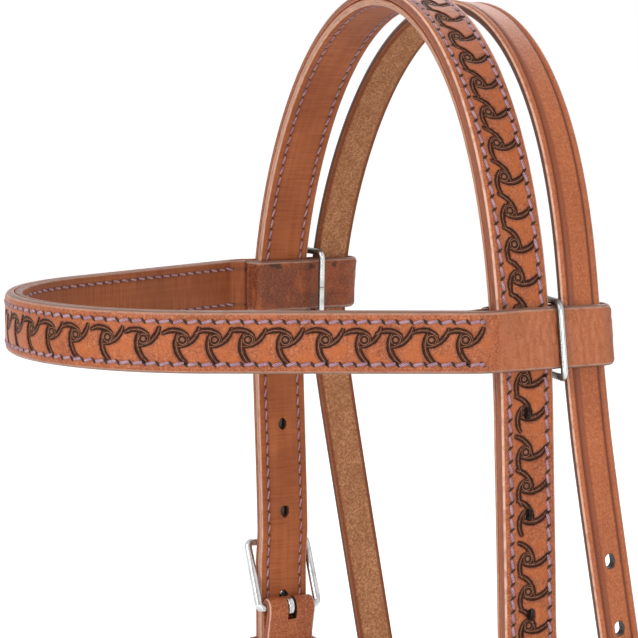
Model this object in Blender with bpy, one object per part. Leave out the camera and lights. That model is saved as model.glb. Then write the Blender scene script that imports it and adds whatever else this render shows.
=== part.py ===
"""Western headstall: a one-piece crown over the poll, a folded browband, a throatlatch and two cheekpieces.

The horse faces -Y, its near (left) side is +X and up is +Z. The origin is under the crown, on the poll.
All lengths are in metres. The tack is modelled done up, as it hangs on a horse's head.
"""
import math

import bmesh
import bpy
from mathutils import Vector

# Leather stock
STRAP_WIDTH = 0.01905
FACE_PLY = 0.0030
LINING_PLY = 0.0025
PLY_GAP = 0.0003
SEAT_GAP = 0.0003
FOLD_PLY = 0.0020
THROAT_WIDTH = 0.0140
THROAT_PLY = 0.0032

# Crown: an elliptical arch over the poll with a plumb leg on each side
CROWN_HALF_SPAN = 0.0922
CROWN_RISE = 0.1288
CROWN_LEAN_UP_DEG = 2.16
CROWN_LEAN_DOWN_DEG = 1.87
LEAN_EASE = 0.0120
LEAN_END_BELOW_BAND = 0.0920
ARCH_SEGMENTS = 33
LEG_STEP = 0.0130

# Billet holes and tips
HOLE_WIDTH = 0.0034
HOLE_LENGTH = 0.0048
HOLE_PITCH = 0.0315
FIRST_HOLE_BELOW_BAND = 0.0130
FAR_HOLE_RISE = 0.0026
FAR_HOLE_RISE_SHARES = (1, 1, 0.5, 0, 0, 0)
HOLE_COUNT = 6
BUCKLED_HOLE = 4
BILLET_PAST_LAST_HOLE = 0.0270
TIP_LENGTH = 0.0110
TIP_SEGMENTS = 4
TIP_END_SHARE = 0.28

# Browband, seen from above: forehead arc, side run, temple bend and a straight end loop
BROWBAND_BELOW_POLL = 0.1009
FOREHEAD_AHEAD_OF_CROWN = 0.1315
FOREHEAD_ARC_DEG = 64.5
TEMPLE_RADIUS = 0.0200
LOOP_BEHIND_THROAT = 0.0018
LOOP_RUN = 0.0436
POCKET_SLACK = 0.0006
BAND_ARC_SEGMENTS = 18
BEND_SEGMENTS = 4
FOLD_SEGMENTS = 7
BUTT_AHEAD_OF_CROWN = 0.0038
BUTT_FLAT = 0.0012
BUTT_INSET = 0.0036
NECK_RUN = 0.0030
BROWBAND_PLAY = 0.0020

# Wire loops round the browband ends
WIRE_DIAMETER = 0.0023
WIRE_PLAY = 0.0009
WIRE_CORNER = 0.0028
WIRE_SIDE_CLEARANCE = 0.0004
WIRE_END_CLEARANCE = 0.0009
WIRE_TILT_DEG = 2.0
WIRE_YAW_DEG = 9.0

# Throatlatch
THROAT_LEAN_UP_DEG = 4.34
THROAT_LEAN_DOWN_DEG = 9.88
THROAT_BEND_BELOW_BAND = 0.0074
THROAT_RISE_UNDER_CROWN = 0.0026
THROAT_SIDE_DROP = 0.1880
THROAT_BOW_DEPTH = 0.0900
THROAT_BUCKLE_BELOW_BAND = 0.1150
THROAT_HOLE_PITCH = 0.0220
THROAT_HOLE_COUNT = 5
THROAT_BUCKLED_HOLE = 3
THROAT_TAIL_PAST_HOLE = 0.0260
BOW_SEGMENTS = 25

# Buckles
CHEEK_BAR_DIAMETER = 0.0030
CHEEK_BUCKLE_LENGTH = 0.0230
CHEEK_TONGUE_WIDTH = 0.0026
CHEEK_TONGUE_PLY = 0.0018
THROAT_BAR_DIAMETER = 0.0025
THROAT_BUCKLE_LENGTH = 0.0180
THROAT_TONGUE_WIDTH = 0.0022
THROAT_TONGUE_PLY = 0.0016
BUCKLE_SIDE_ROOM = 0.0008
BUCKLE_CORNER = 0.0021
BILLET_CLEARANCE = 0.0004
BILLET_KICK = 0.0020
KICK_RUN = 0.0160
KICK_LEAD_SHARE = 0.25
TONGUE_OVERHANG = 0.0016
TONGUE_SLOT_ROOM = 0.0004
TONGUE_WRAP_START_DEG = -20
TONGUE_WRAP_END_DEG = -270
TONGUE_RISE_SHARES = ((-0.5, 1.1), (0.125, 1.5), (0.25, 2.2))
CHAPE_RETURN = 0.0380
CHAPE_RAMP = 0.0100

# Keepers
KEEPER_WALL = 0.0016
KEEPER_WIDTH = 0.0090
KEEPER_CORNER = 0.0013
KEEPER_ROOM = 0.0005
FIXED_KEEPER_BELOW_BAR = 0.0130
LOOSE_KEEPER_BELOW_BAR = 0.0460
THROAT_LOOSE_KEEPER_BELOW_BAR = 0.0400

# Cheekpiece foot: the face leather is turned up round the bit ring and held by two screw posts
CHEEK_LENGTH = 0.2180
BIT_LOOP_RADIUS = 0.0060
BIT_LOOP_NECK = 0.0160
BIT_RETURN = 0.0420
BIT_LOOP_SEGMENTS = 9
POST_ABOVE_NECK = 0.0090
POST_PITCH = 0.0180
POST_DIAMETER = 0.0050
POST_BORE = 0.0038
POST_HEAD_DIAMETER = 0.0095
POST_HEAD_HEIGHT = 0.0014
POST_HEAD_SHARES = ((0, 1), (0.7, 0.85), (1, 0.3))
SCREW_DIAMETER = 0.0032
POST_ROOM = 0.0003
ROUND_SIDES = 14
WIRE_SIDES = 8
CORNER_SEGMENTS = 3
CUT_OVERRUN = 0.0020

# Places worked out from the sizes above
STRAP_THICK = FACE_PLY + PLY_GAP + LINING_PLY
SPRING_Z = STRAP_THICK / 2 - CROWN_RISE
BAND_Z = -BROWBAND_BELOW_POLL
BAND_BOTTOM_Z = BAND_Z - STRAP_WIDTH / 2
LEAN_END_Z = BAND_Z - LEAN_END_BELOW_BAND
THROAT_BEND_Z = BAND_Z - THROAT_BEND_BELOW_BAND
THROAT_RISE = CROWN_RISE - THROAT_RISE_UNDER_CROWN
WIRE_GAP = WIRE_DIAMETER + 2 * WIRE_PLAY
THROAT_BEHIND_CROWN = (STRAP_WIDTH + THROAT_WIDTH) / 2 + WIRE_GAP
FIRST_HOLE_Z = BAND_BOTTOM_Z - FIRST_HOLE_BELOW_BAND
BUCKLED_HOLE_Z = FIRST_HOLE_Z - (BUCKLED_HOLE - 1) * HOLE_PITCH
BILLET_TIP_Z = FIRST_HOLE_Z - (HOLE_COUNT - 1) * HOLE_PITCH - BILLET_PAST_LAST_HOLE
NEAR = 1
FAR = -1


def leather(name, colour, roughness):
    """A leather finish: a Principled material with the piece's own colour."""
    material = bpy.data.materials.new(name)
    material.use_nodes = True
    shader = material.node_tree.nodes["Principled BSDF"]
    shader.inputs["Base Color"].default_value = (*colour, 1)
    shader.inputs["Roughness"].default_value = roughness
    return material


def steel(name, colour, roughness):
    """A bright metal finish."""
    material = leather(name, colour, roughness)
    material.node_tree.nodes["Principled BSDF"].inputs["Metallic"].default_value = 1
    return material


def clear_scene():
    """Start from an empty scene."""
    for thing in list(bpy.data.objects):
        bpy.data.objects.remove(thing, do_unlink=True)


def add_object(name, mesh_data, material, origin=Vector((0, 0, 0))):
    """Close the mesh up, point its faces out and put the object's origin at its own pivot."""
    bmesh.ops.recalc_face_normals(mesh_data, faces=mesh_data.faces)
    bmesh.ops.translate(mesh_data, verts=mesh_data.verts, vec=-origin)
    mesh = bpy.data.meshes.new(name)
    mesh_data.to_mesh(mesh)
    mesh_data.free()
    mesh.materials.append(material)
    thing = bpy.data.objects.new(name, mesh)
    thing.location = origin
    bpy.context.collection.objects.link(thing)
    return thing


def add_cutter(name, mesh_data):
    """A shape that only cuts others."""
    bmesh.ops.recalc_face_normals(mesh_data, faces=mesh_data.faces)
    mesh = bpy.data.meshes.new(name)
    mesh_data.to_mesh(mesh)
    mesh_data.free()
    thing = bpy.data.objects.new(name, mesh)
    thing.hide_render = True
    thing.display_type = "WIRE"
    bpy.context.collection.objects.link(thing)
    return thing


def cut(thing, cutter):
    """Take the cutter's shape out of the piece."""
    boolean = thing.modifiers.new("cut", "BOOLEAN")
    boolean.operation = "DIFFERENCE"
    boolean.solver = "EXACT"
    boolean.object = cutter


def ease(share):
    """A smooth step from 0 to 1."""
    share = min(max(share, 0), 1)
    return share * share * (3 - 2 * share)


def soft_run(distance):
    """Distance past a bend, with the bend itself eased."""
    return LEAN_EASE * math.log1p(math.exp(distance / LEAN_EASE))


def soft_slope(distance):
    """How far into the bend the run already is, from 0 to 1."""
    return 1 / (1 + math.exp(-distance / LEAN_EASE))


class CrownLine:
    """The line that the crown and the cheekpieces follow, seen from the side."""

    up = math.tan(math.radians(CROWN_LEAN_UP_DEG))
    down = math.tan(math.radians(CROWN_LEAN_DOWN_DEG))

    def free_y(self, z):
        below = soft_run(BAND_Z - z) - soft_run(LEAN_END_Z - z)
        return self.up * soft_run(z - BAND_Z) + self.down * below

    def y(self, z):
        return self.free_y(z) - self.free_y(0)

    def slope(self, z):
        below = soft_slope(BAND_Z - z) - soft_slope(LEAN_END_Z - z)
        return self.up * soft_slope(z - BAND_Z) - self.down * below


class ThroatLine:
    """The line that the throatlatch follows, seen from the side."""

    up = math.tan(math.radians(THROAT_LEAN_UP_DEG))
    down = math.tan(math.radians(THROAT_LEAN_DOWN_DEG))

    def free_y(self, z):
        return self.down * soft_run(THROAT_BEND_Z - z) + self.up * soft_run(z - THROAT_BEND_Z)

    def y(self, z):
        return crown_line.y(BAND_Z) + THROAT_BEHIND_CROWN + self.free_y(z) - self.free_y(BAND_Z)

    def slope(self, z):
        return self.up * soft_slope(z - THROAT_BEND_Z) - self.down * soft_slope(THROAT_BEND_Z - z)


crown_line = CrownLine()
throat_line = ThroatLine()


def side_station(line, x, z, normal_x, normal_z, thickness, width):
    """One cross-section of a strap that runs up, over or down the head."""
    slope = line.slope(z)
    across = Vector((0, 1, -slope)).normalized()
    normal = Vector((normal_x, 0, normal_z))
    normal = (normal - normal.dot(across) * across).normalized()
    return Vector((x, line.y(z), z)), normal, across, thickness, width


def plan_station(x, y, normal_x, normal_y, thickness):
    """One cross-section of the browband, which stands on edge round the forehead."""
    return Vector((x, y, BAND_Z)), Vector((normal_x, normal_y, 0)), Vector((0, 0, 1)), thickness, STRAP_WIDTH


def path_normals(points):
    """Left-hand normals of a flat polyline, averaged at its corners."""
    normals = []
    last = len(points) - 1
    for index in range(len(points)):
        before = points[max(index - 1, 0)]
        after = points[min(index + 1, last)]
        run = Vector((after[0] - before[0], after[1] - before[1])).normalized()
        normals.append((-run[1], run[0]))
    return normals


def ribbon_mesh(stations, closed=False):
    """A strap: a flat cross-section carried from station to station."""
    mesh_data = bmesh.new()
    rings = []
    for centre, normal, across, thickness, width in stations:
        ring = []
        for out, along in ((1, -1), (1, 1), (-1, 1), (-1, -1)):
            corner = centre + normal * (out * thickness / 2) + across * (along * width / 2)
            ring.append(mesh_data.verts.new(corner))
        rings.append(ring)
    pairs = list(zip(rings, rings[1:]))
    if closed:
        pairs.append((rings[-1], rings[0]))
    else:
        mesh_data.faces.new(rings[0])
        mesh_data.faces.new(rings[-1])
    for ring, following in pairs:
        for corner in range(4):
            after = (corner + 1) % 4
            mesh_data.faces.new((ring[corner], ring[after], following[after], following[corner]))
    return mesh_data


def tube_mesh(points, plane_normal, radius):
    """A closed ring of round wire whose path lies in one plane."""
    mesh_data = bmesh.new()
    rings = []
    count = len(points)
    for index, point in enumerate(points):
        run = (points[(index + 1) % count] - points[index - 1]).normalized()
        outward = run.cross(plane_normal).normalized()
        ring = []
        for side in range(WIRE_SIDES):
            angle = math.tau * (side + 0.5) / WIRE_SIDES
            offset = outward * math.cos(angle) + plane_normal * math.sin(angle)
            ring.append(mesh_data.verts.new(point + offset * radius))
        rings.append(ring)
    for index, ring in enumerate(rings):
        following = rings[(index + 1) % count]
        for side in range(WIRE_SIDES):
            after = (side + 1) % WIRE_SIDES
            mesh_data.faces.new((ring[side], ring[after], following[after], following[side]))
    return mesh_data


def rounded_rectangle(low_p, high_p, low_q, high_q, corner):
    """Points round a rectangle with round corners, in its own two coordinates."""
    points = []
    centres = (
        (high_p - corner, high_q - corner, 0),
        (low_p + corner, high_q - corner, 1),
        (low_p + corner, low_q + corner, 2),
        (high_p - corner, low_q + corner, 3),
    )
    for centre_p, centre_q, quarter in centres:
        for step in range(CORNER_SEGMENTS + 1):
            angle = math.pi / 2 * (quarter + step / CORNER_SEGMENTS)
            points.append((centre_p + corner * math.cos(angle), centre_q + corner * math.sin(angle)))
    return points


class Spot:
    """A place on a strap: out from the head, back across the strap and up along it."""

    def __init__(self, x, line, z, side):
        slope = line.slope(z)
        self.side = side
        self.origin = Vector((side * x, line.y(z), z))
        self.out = Vector((side, 0, 0))
        self.back = Vector((0, 1, -slope)).normalized()
        self.up = Vector((0, slope, 1)).normalized()

    def at(self, out, back, up):
        return self.origin + self.out * out + self.back * back + self.up * up

    def station(self, out, up, normal_out, normal_up, thickness, width):
        """A strap cross-section given in the spot's own directions."""
        return self.at(out, 0, up), self.out * normal_out + self.up * normal_up, self.back, thickness, width


def spot_ribbon(spot, points, thicknesses, widths):
    """Stations along a path given in a spot's out and up directions."""
    stations = []
    for point, normal, thickness, width in zip(points, path_normals(points), thicknesses, widths):
        stations.append(spot.station(point[0], point[1], normal[0], normal[1], thickness, width))
    return stations


def arc_points(centre, radius, start_deg, end_deg, segments):
    """Points along an arc, both ends included."""
    points = []
    for step in range(segments + 1):
        angle = math.radians(start_deg + (end_deg - start_deg) * step / segments)
        points.append((centre[0] + radius * math.cos(angle), centre[1] + radius * math.sin(angle)))
    return points


def hole_cutter(name, spots, width, length, depth):
    """Oblong holes through a strap, one at each spot."""
    mesh_data = bmesh.new()
    for spot in spots:
        outline = []
        straight = (length - width) / 2
        outline += arc_points((0, straight), width / 2, 0, 180, BEND_SEGMENTS)
        outline += arc_points((0, -straight), width / 2, 180, 360, BEND_SEGMENTS)
        rings = []
        for out in (-depth, depth):
            rings.append([mesh_data.verts.new(spot.at(out, back, up)) for back, up in outline])
        mesh_data.faces.new(rings[0])
        mesh_data.faces.new(rings[1])
        count = len(outline)
        for index in range(count):
            after = (index + 1) % count
            mesh_data.faces.new((rings[0][index], rings[0][after], rings[1][after], rings[1][index]))
    return add_cutter(name, mesh_data)


def box_cutter(name, spot, out_range, back_range, up_range):
    """A square-cornered cut in a spot's own directions."""
    mesh_data = bmesh.new()
    rings = []
    for up in up_range:
        corners = ((0, 0), (1, 0), (1, 1), (0, 1))
        rings.append([mesh_data.verts.new(spot.at(out_range[i], back_range[j], up)) for i, j in corners])
    mesh_data.faces.new(rings[0])
    mesh_data.faces.new(rings[1])
    for corner in range(4):
        after = (corner + 1) % 4
        mesh_data.faces.new((rings[0][corner], rings[0][after], rings[1][after], rings[1][corner]))
    return add_cutter(name, mesh_data)


def turned_mesh(spot, up, profile):
    """A turned piece whose axis points out of the strap; the profile gives radius and height."""
    mesh_data = bmesh.new()
    rings = []
    for radius, out in profile:
        if radius == 0:
            rings.append([mesh_data.verts.new(spot.at(out, 0, up))])
            continue
        ring = []
        for side in range(ROUND_SIDES):
            angle = math.tau * side / ROUND_SIDES
            point = spot.at(out, radius * math.cos(angle), up + radius * math.sin(angle))
            ring.append(mesh_data.verts.new(point))
        rings.append(ring)
    for ring, following in zip(rings, rings[1:]):
        for side in range(ROUND_SIDES):
            after = (side + 1) % ROUND_SIDES
            corners = {ring[side % len(ring)]: 0, ring[after % len(ring)]: 0}
            corners.update({following[after % len(following)]: 0, following[side % len(following)]: 0})
            mesh_data.faces.new(list(corners))
    return mesh_data


# Crown


def billet_kick(z):
    """The billet steps out over the cheekpiece's fold below the buckle's toe."""
    start = BUCKLED_HOLE_Z + CHEEK_BUCKLE_LENGTH + KICK_RUN * KICK_LEAD_SHARE
    return BILLET_KICK * ease((start - z) / KICK_RUN)


def leg_heights(top, bottom, step):
    """Evenly spaced heights down a leg, both ends included."""
    count = max(2, round((top - bottom) / step))
    return [top + (bottom - top) * index / count for index in range(count + 1)]


def tip_widths(bottom, width):
    """Heights and widths of a rounded strap tip that ends at the given height."""
    rows = []
    for step in range(1, TIP_SEGMENTS + 1):
        share = step / TIP_SEGMENTS
        taper = max(math.sqrt(1 - share * share), TIP_END_SHARE)
        rows.append((bottom + TIP_LENGTH * (1 - share), width * taper))
    return rows


def crown_leg(side, offset, thickness):
    """Stations of one crown leg from the spring line down to the billet's tip."""
    stations = []
    straight_bottom = BILLET_TIP_Z + TIP_LENGTH
    rows = [(z, STRAP_WIDTH) for z in leg_heights(SPRING_Z, straight_bottom, LEG_STEP)[1:]]
    for z, width in rows + tip_widths(BILLET_TIP_Z, STRAP_WIDTH):
        x = CROWN_HALF_SPAN + offset + billet_kick(z)
        stations.append(side_station(crown_line, side * x, z, side, 0, thickness, width))
    return stations


def arch_stations(line, half_span, rise, offset, thickness, width):
    """Stations over the poll, from the near spring line to the far one."""
    stations = []
    for step in range(ARCH_SEGMENTS + 1):
        angle = math.pi / 2 * (1 - 2 * step / ARCH_SEGMENTS)
        normal = Vector((math.sin(angle) / half_span, math.cos(angle) / rise)).normalized()
        x = half_span * math.sin(angle) + offset * normal[0]
        z = SPRING_Z + rise * math.cos(angle) + offset * normal[1]
        stations.append(side_station(line, x, z, normal[0], normal[1], thickness, width))
    return stations


def crown_stations(offset, thickness):
    near = crown_leg(NEAR, offset, thickness)
    arch = arch_stations(crown_line, CROWN_HALF_SPAN, CROWN_RISE, offset, thickness, STRAP_WIDTH)
    return near[::-1] + arch + crown_leg(FAR, offset, thickness)


def billet_spot(side, z):
    return Spot(CROWN_HALF_SPAN + billet_kick(z), crown_line, z, side)


def make_crown(face_leather, lining_leather):
    """The tooled crown and its stitched lining, each one piece from billet tip to billet tip."""
    spots = []
    for side in (NEAR, FAR):
        for index in range(HOLE_COUNT):
            rise = FAR_HOLE_RISE * FAR_HOLE_RISE_SHARES[index] if side == FAR else 0
            spots.append(billet_spot(side, FIRST_HOLE_Z - index * HOLE_PITCH + rise))
    holes = hole_cutter("crown_hole_cutter", spots, HOLE_WIDTH, HOLE_LENGTH, STRAP_THICK)
    face_offset = (STRAP_THICK - FACE_PLY) / 2
    lining_offset = (LINING_PLY - STRAP_THICK) / 2
    face_mesh = ribbon_mesh(crown_stations(face_offset, FACE_PLY))
    face = add_object("crown_face", face_mesh, face_leather)
    lining_mesh = ribbon_mesh(crown_stations(lining_offset, LINING_PLY))
    lining = add_object("crown_lining", lining_mesh, lining_leather)
    cut(face, holes)
    cut(lining, holes)


# Browband


def arch_x(half_span, rise, z):
    """How far out an arch's middle is at a height above or below its spring line."""
    height = max(z - SPRING_Z, 0) / rise
    return half_span * math.sqrt(1 - height * height)


class BrowbandPlan:
    """The browband seen from above, worked out from the straps that its end loops hold."""

    def __init__(self):
        low = BAND_BOTTOM_Z - BROWBAND_PLAY
        high = BAND_Z + STRAP_WIDTH / 2 + BROWBAND_PLAY
        crown_out = arch_x(CROWN_HALF_SPAN, CROWN_RISE, low) + STRAP_THICK / 2
        crown_in = arch_x(CROWN_HALF_SPAN, CROWN_RISE, high) - STRAP_THICK / 2
        self.pocket_out = crown_out + POCKET_SLACK
        self.pocket_in = crown_in - POCKET_SLACK
        self.outer = self.pocket_out + FACE_PLY
        self.throat_span = self.pocket_out - POCKET_SLACK - THROAT_PLY / 2
        throat_high = self.throat_span * arch_x(1, THROAT_RISE, high) / arch_x(1, THROAT_RISE, low)
        self.throat_in = throat_high - THROAT_PLY / 2 - POCKET_SLACK
        self.crown_y = crown_line.y(BAND_Z)
        self.crown_front = self.crown_y - STRAP_WIDTH / 2
        self.crown_back = self.crown_y + STRAP_WIDTH / 2
        self.wire_y = self.crown_back + WIRE_GAP / 2
        throat_back = max(throat_line.y(z) for z in (low, BAND_Z, high)) + THROAT_WIDTH / 2
        self.fold_out = self.outer - FACE_PLY / 2
        self.fold_in = self.throat_in - FOLD_PLY / 2
        self.fold_radius = (self.fold_out - self.fold_in) / 2
        self.fold_y = throat_back + LOOP_BEHIND_THROAT + FACE_PLY / 2 - self.fold_radius
        self.butt_y = self.crown_front - BUTT_AHEAD_OF_CROWN

    def outer_points(self, inset):
        """Half the band: from the middle of the forehead, and round the temple to the loop's straight run."""
        turn = math.radians(FOREHEAD_ARC_DEG)
        temple = TEMPLE_RADIUS
        start_y = self.fold_y + self.fold_radius - LOOP_RUN
        reach_x = self.outer - temple * (1 - math.sin(turn))
        reach_y = start_y - temple * math.cos(turn) - (self.crown_y - FOREHEAD_AHEAD_OF_CROWN)
        forehead = (reach_x * math.sin(turn) - reach_y * math.cos(turn))
        forehead /= math.sin(turn) * math.sin(turn) - (1 - math.cos(turn)) * math.cos(turn)
        centre_y = self.crown_y - FOREHEAD_AHEAD_OF_CROWN + forehead
        front = arc_points((0, centre_y), forehead - inset, -90, FOREHEAD_ARC_DEG - 90, BAND_ARC_SEGMENTS)
        temple_centre = (self.outer - temple, start_y)
        side = arc_points(temple_centre, temple - inset, FOREHEAD_ARC_DEG - 90, 0, BEND_SEGMENTS)
        return front, side


def make_browband(face_leather, lining_leather):
    """The tooled face, folded round both straps at each end, and the lining that butts against its ends."""
    plan = BrowbandPlan()
    front, side = plan.outer_points(FACE_PLY / 2)
    half = front + side
    fold_centre = ((plan.fold_out + plan.fold_in) / 2, plan.fold_y)
    fold = arc_points(fold_centre, plan.fold_radius, 0, 180, FOLD_SEGMENTS)
    back_in = plan.pocket_in - FOLD_PLY / 2
    butt_in = plan.outer - STRAP_THICK + FOLD_PLY / 2 - BUTT_INSET
    tail = [
        (plan.fold_in, plan.wire_y + NECK_RUN / 2),
        (back_in, plan.wire_y - NECK_RUN / 2),
        (back_in, plan.crown_front - POCKET_SLACK),
        (butt_in, plan.butt_y + BUTT_FLAT),
        (butt_in, plan.butt_y),
    ]
    path = half + fold + tail
    plies = [FACE_PLY] * (len(half) + 1) + [FOLD_PLY] * (len(fold) + len(tail) - 1)
    near = []
    for point, normal, ply in zip(path, path_normals(path), plies):
        near.append(plan_station(point[0], point[1], normal[0], normal[1], ply))
    stations = mirrored(near[1:])[::-1] + near
    add_object("browband_face", ribbon_mesh(stations), face_leather, Vector((0, 0, BAND_Z)))

    inset = FACE_PLY + PLY_GAP + LINING_PLY / 2
    front, side = plan.outer_points(inset)
    end_y = plan.butt_y - SEAT_GAP
    path = front + side[:1] + [(butt_in, end_y - BUTT_FLAT), (butt_in, end_y)]
    near = []
    for point, normal in zip(path, path_normals(path)):
        near.append(plan_station(point[0], point[1], normal[0], normal[1], LINING_PLY))
    stations = mirrored(near[1:])[::-1] + near
    add_object("browband_lining", ribbon_mesh(stations), lining_leather, Vector((0, 0, BAND_Z)))
    return plan


def turned_round(stations):
    """The same strap walked from its other end, its grain side still out."""
    return [(centre, -normal, across, ply, width) for centre, normal, across, ply, width in stations[::-1]]


def mirrored(stations):
    """The same stations on the far side."""
    flip = Vector((-1, 1, 1))
    rows = []
    for centre, normal, across, thickness, width in stations:
        rows.append((centre * flip, normal * flip, across, thickness, width))
    return rows


def make_wire_loops(plan, wire):
    """A bent wire round each browband loop, between the crown and the throatlatch.

    It hangs a little askew: its outer run lies nearer the crown, its inner run over the throatlatch's edge.
    """
    radius = WIRE_DIAMETER / 2
    out = plan.outer + WIRE_SIDE_CLEARANCE + radius
    inner = plan.pocket_in - FOLD_PLY - WIRE_SIDE_CLEARANCE - radius
    tall = STRAP_WIDTH / 2 + WIRE_END_CLEARANCE + radius
    tilt = math.radians(WIRE_TILT_DEG)
    skew = math.tan(math.radians(WIRE_YAW_DEG))
    up = Vector((0, -math.sin(tilt), math.cos(tilt)))
    for name, side in (("wire_loop_near", NEAR), ("wire_loop_far", FAR)):
        centre = Vector((side * CROWN_HALF_SPAN, plan.wire_y, BAND_Z))
        outward = Vector((side, -skew, 0))
        plane_normal = (up.cross(outward) * side).normalized()
        points = []
        for p, q in rounded_rectangle(inner, out, -tall, tall, WIRE_CORNER):
            points.append(centre + outward * (p - CROWN_HALF_SPAN) + up * q)
        origin = centre + outward * (out - CROWN_HALF_SPAN)
        add_object(name, tube_mesh(points, plane_normal, radius), wire, origin)


# Buckles and keepers


class BuckleSeat:
    """Where a buckle's bar, chape and billet lie, measured out from the middle of the bar."""

    def __init__(self, spot, bar, length, strap_width, chape_ply, billet_thick, toe_drop):
        self.spot = spot
        self.bar = bar / 2
        self.length = length
        self.strap_width = strap_width
        self.fold_inner = self.bar + SEAT_GAP
        self.chape_out = self.fold_inner + FOLD_PLY
        self.chape_mid = self.chape_out - chape_ply / 2
        self.chape_ply = chape_ply
        self.return_mid = self.chape_out - chape_ply - PLY_GAP - FOLD_PLY / 2
        self.billet_in = self.chape_out + BILLET_CLEARANCE
        self.billet_out = self.billet_in + billet_thick
        self.billet_mid = (self.billet_in + self.billet_out) / 2
        self.toe_out = self.billet_out - toe_drop + BILLET_CLEARANCE + self.bar

    def chape_path(self):
        """The strap end turned over the bar: up outside it, over, and down inside it."""
        rise = self.fold_inner + FOLD_PLY / 2
        points = [(self.chape_mid, -CHAPE_RAMP)]
        plies = [self.chape_ply]
        fold = arc_points((0, 0), rise, 0, 180, FOLD_SEGMENTS)
        points += [(rise, -self.bar * 2)] + fold
        plies += [FOLD_PLY] * (len(fold) + 1)
        points += [(-rise, -self.bar), (self.return_mid, -CHAPE_RAMP), (self.return_mid, -CHAPE_RETURN)]
        plies += [FOLD_PLY] * 3
        return points, plies


def make_buckle(name, seat, tongue_width, tongue_ply, metal):
    """A bent-wire buckle frame and the tongue that is wrapped round its bar."""
    spot = seat.spot
    half = seat.strap_width / 2 + BUCKLE_SIDE_ROOM + seat.bar
    reach = math.hypot(seat.toe_out, seat.length)
    lean_out = seat.toe_out / reach
    lean_up = seat.length / reach
    points = []
    for q, p in rounded_rectangle(-half, half, 0, reach, BUCKLE_CORNER):
        points.append(spot.at(p * lean_out, q, p * lean_up))
    plane_normal = (spot.out * lean_up - spot.up * lean_out).normalized()
    add_object(name + "_frame", tube_mesh(points, plane_normal, seat.bar), metal, spot.origin)

    wrap = seat.bar + SEAT_GAP + tongue_ply / 2
    over = seat.billet_out + BILLET_CLEARANCE + tongue_ply / 2
    toe_over = seat.toe_out + seat.bar + SEAT_GAP + tongue_ply / 2
    path = arc_points((0, 0), wrap, TONGUE_WRAP_START_DEG, TONGUE_WRAP_END_DEG, 2 * FOLD_SEGMENTS)
    path.append((seat.billet_mid, wrap))
    path += [(over + wrap * out_share, wrap * up_share) for out_share, up_share in TONGUE_RISE_SHARES]
    path += [(toe_over, seat.length - seat.bar), (toe_over, seat.length + TONGUE_OVERHANG)]
    widths = [tongue_width] * (len(path) - 1) + [tongue_width / 2]
    stations = spot_ribbon(spot, path, [tongue_ply] * len(path), widths)
    add_object(name + "_tongue", ribbon_mesh(stations), metal, spot.origin)


def make_keeper(name, seat, below_bar, inner, width, strip_leather):
    """A leather band round the strap and the billet's tail."""
    spot = seat.spot
    low = inner - KEEPER_ROOM - KEEPER_WALL / 2
    high = seat.billet_out + KEEPER_ROOM + KEEPER_WALL / 2
    half = width / 2 + KEEPER_ROOM + KEEPER_WALL / 2
    outline = rounded_rectangle(low, high, -half, half, KEEPER_CORNER)
    middle = -below_bar - KEEPER_WIDTH / 2
    stations = []
    count = len(outline)
    for index, (out, back) in enumerate(outline):
        following = outline[(index + 1) % count]
        before = outline[index - 1]
        run = Vector((following[0] - before[0], following[1] - before[1])).normalized()
        normal = spot.out * run[1] - spot.back * run[0]
        stations.append((spot.at(out, back, middle), normal, spot.up, KEEPER_WALL, KEEPER_WIDTH))
    add_object(name, ribbon_mesh(stations, closed=True), strip_leather, spot.at(high, 0, middle))


def chape_slot(name, seat, tongue_width):
    """The crew hole: the slot in the turned strap end that the tongue comes through."""
    half = tongue_width / 2 + TONGUE_SLOT_ROOM
    depth = seat.chape_out + CUT_OVERRUN
    bottom = -seat.bar - SEAT_GAP - FOLD_PLY - SEAT_GAP
    return box_cutter(name, seat.spot, (-depth, depth), (-half, half), (bottom, depth))


# Cheekpieces


def cheek_seat(side):
    """The bar of a cheekpiece buckle, set in behind the billet at the hole in use."""
    bar = CHEEK_BAR_DIAMETER
    spot = billet_spot(side, BUCKLED_HOLE_Z)
    seat = BuckleSeat(spot, bar, CHEEK_BUCKLE_LENGTH, STRAP_WIDTH, FACE_PLY, STRAP_THICK, BILLET_KICK / 2)
    wrap = seat.bar + SEAT_GAP + CHEEK_TONGUE_PLY / 2
    spot.origin = spot.at(-seat.billet_mid, 0, -wrap)
    return seat


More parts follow.
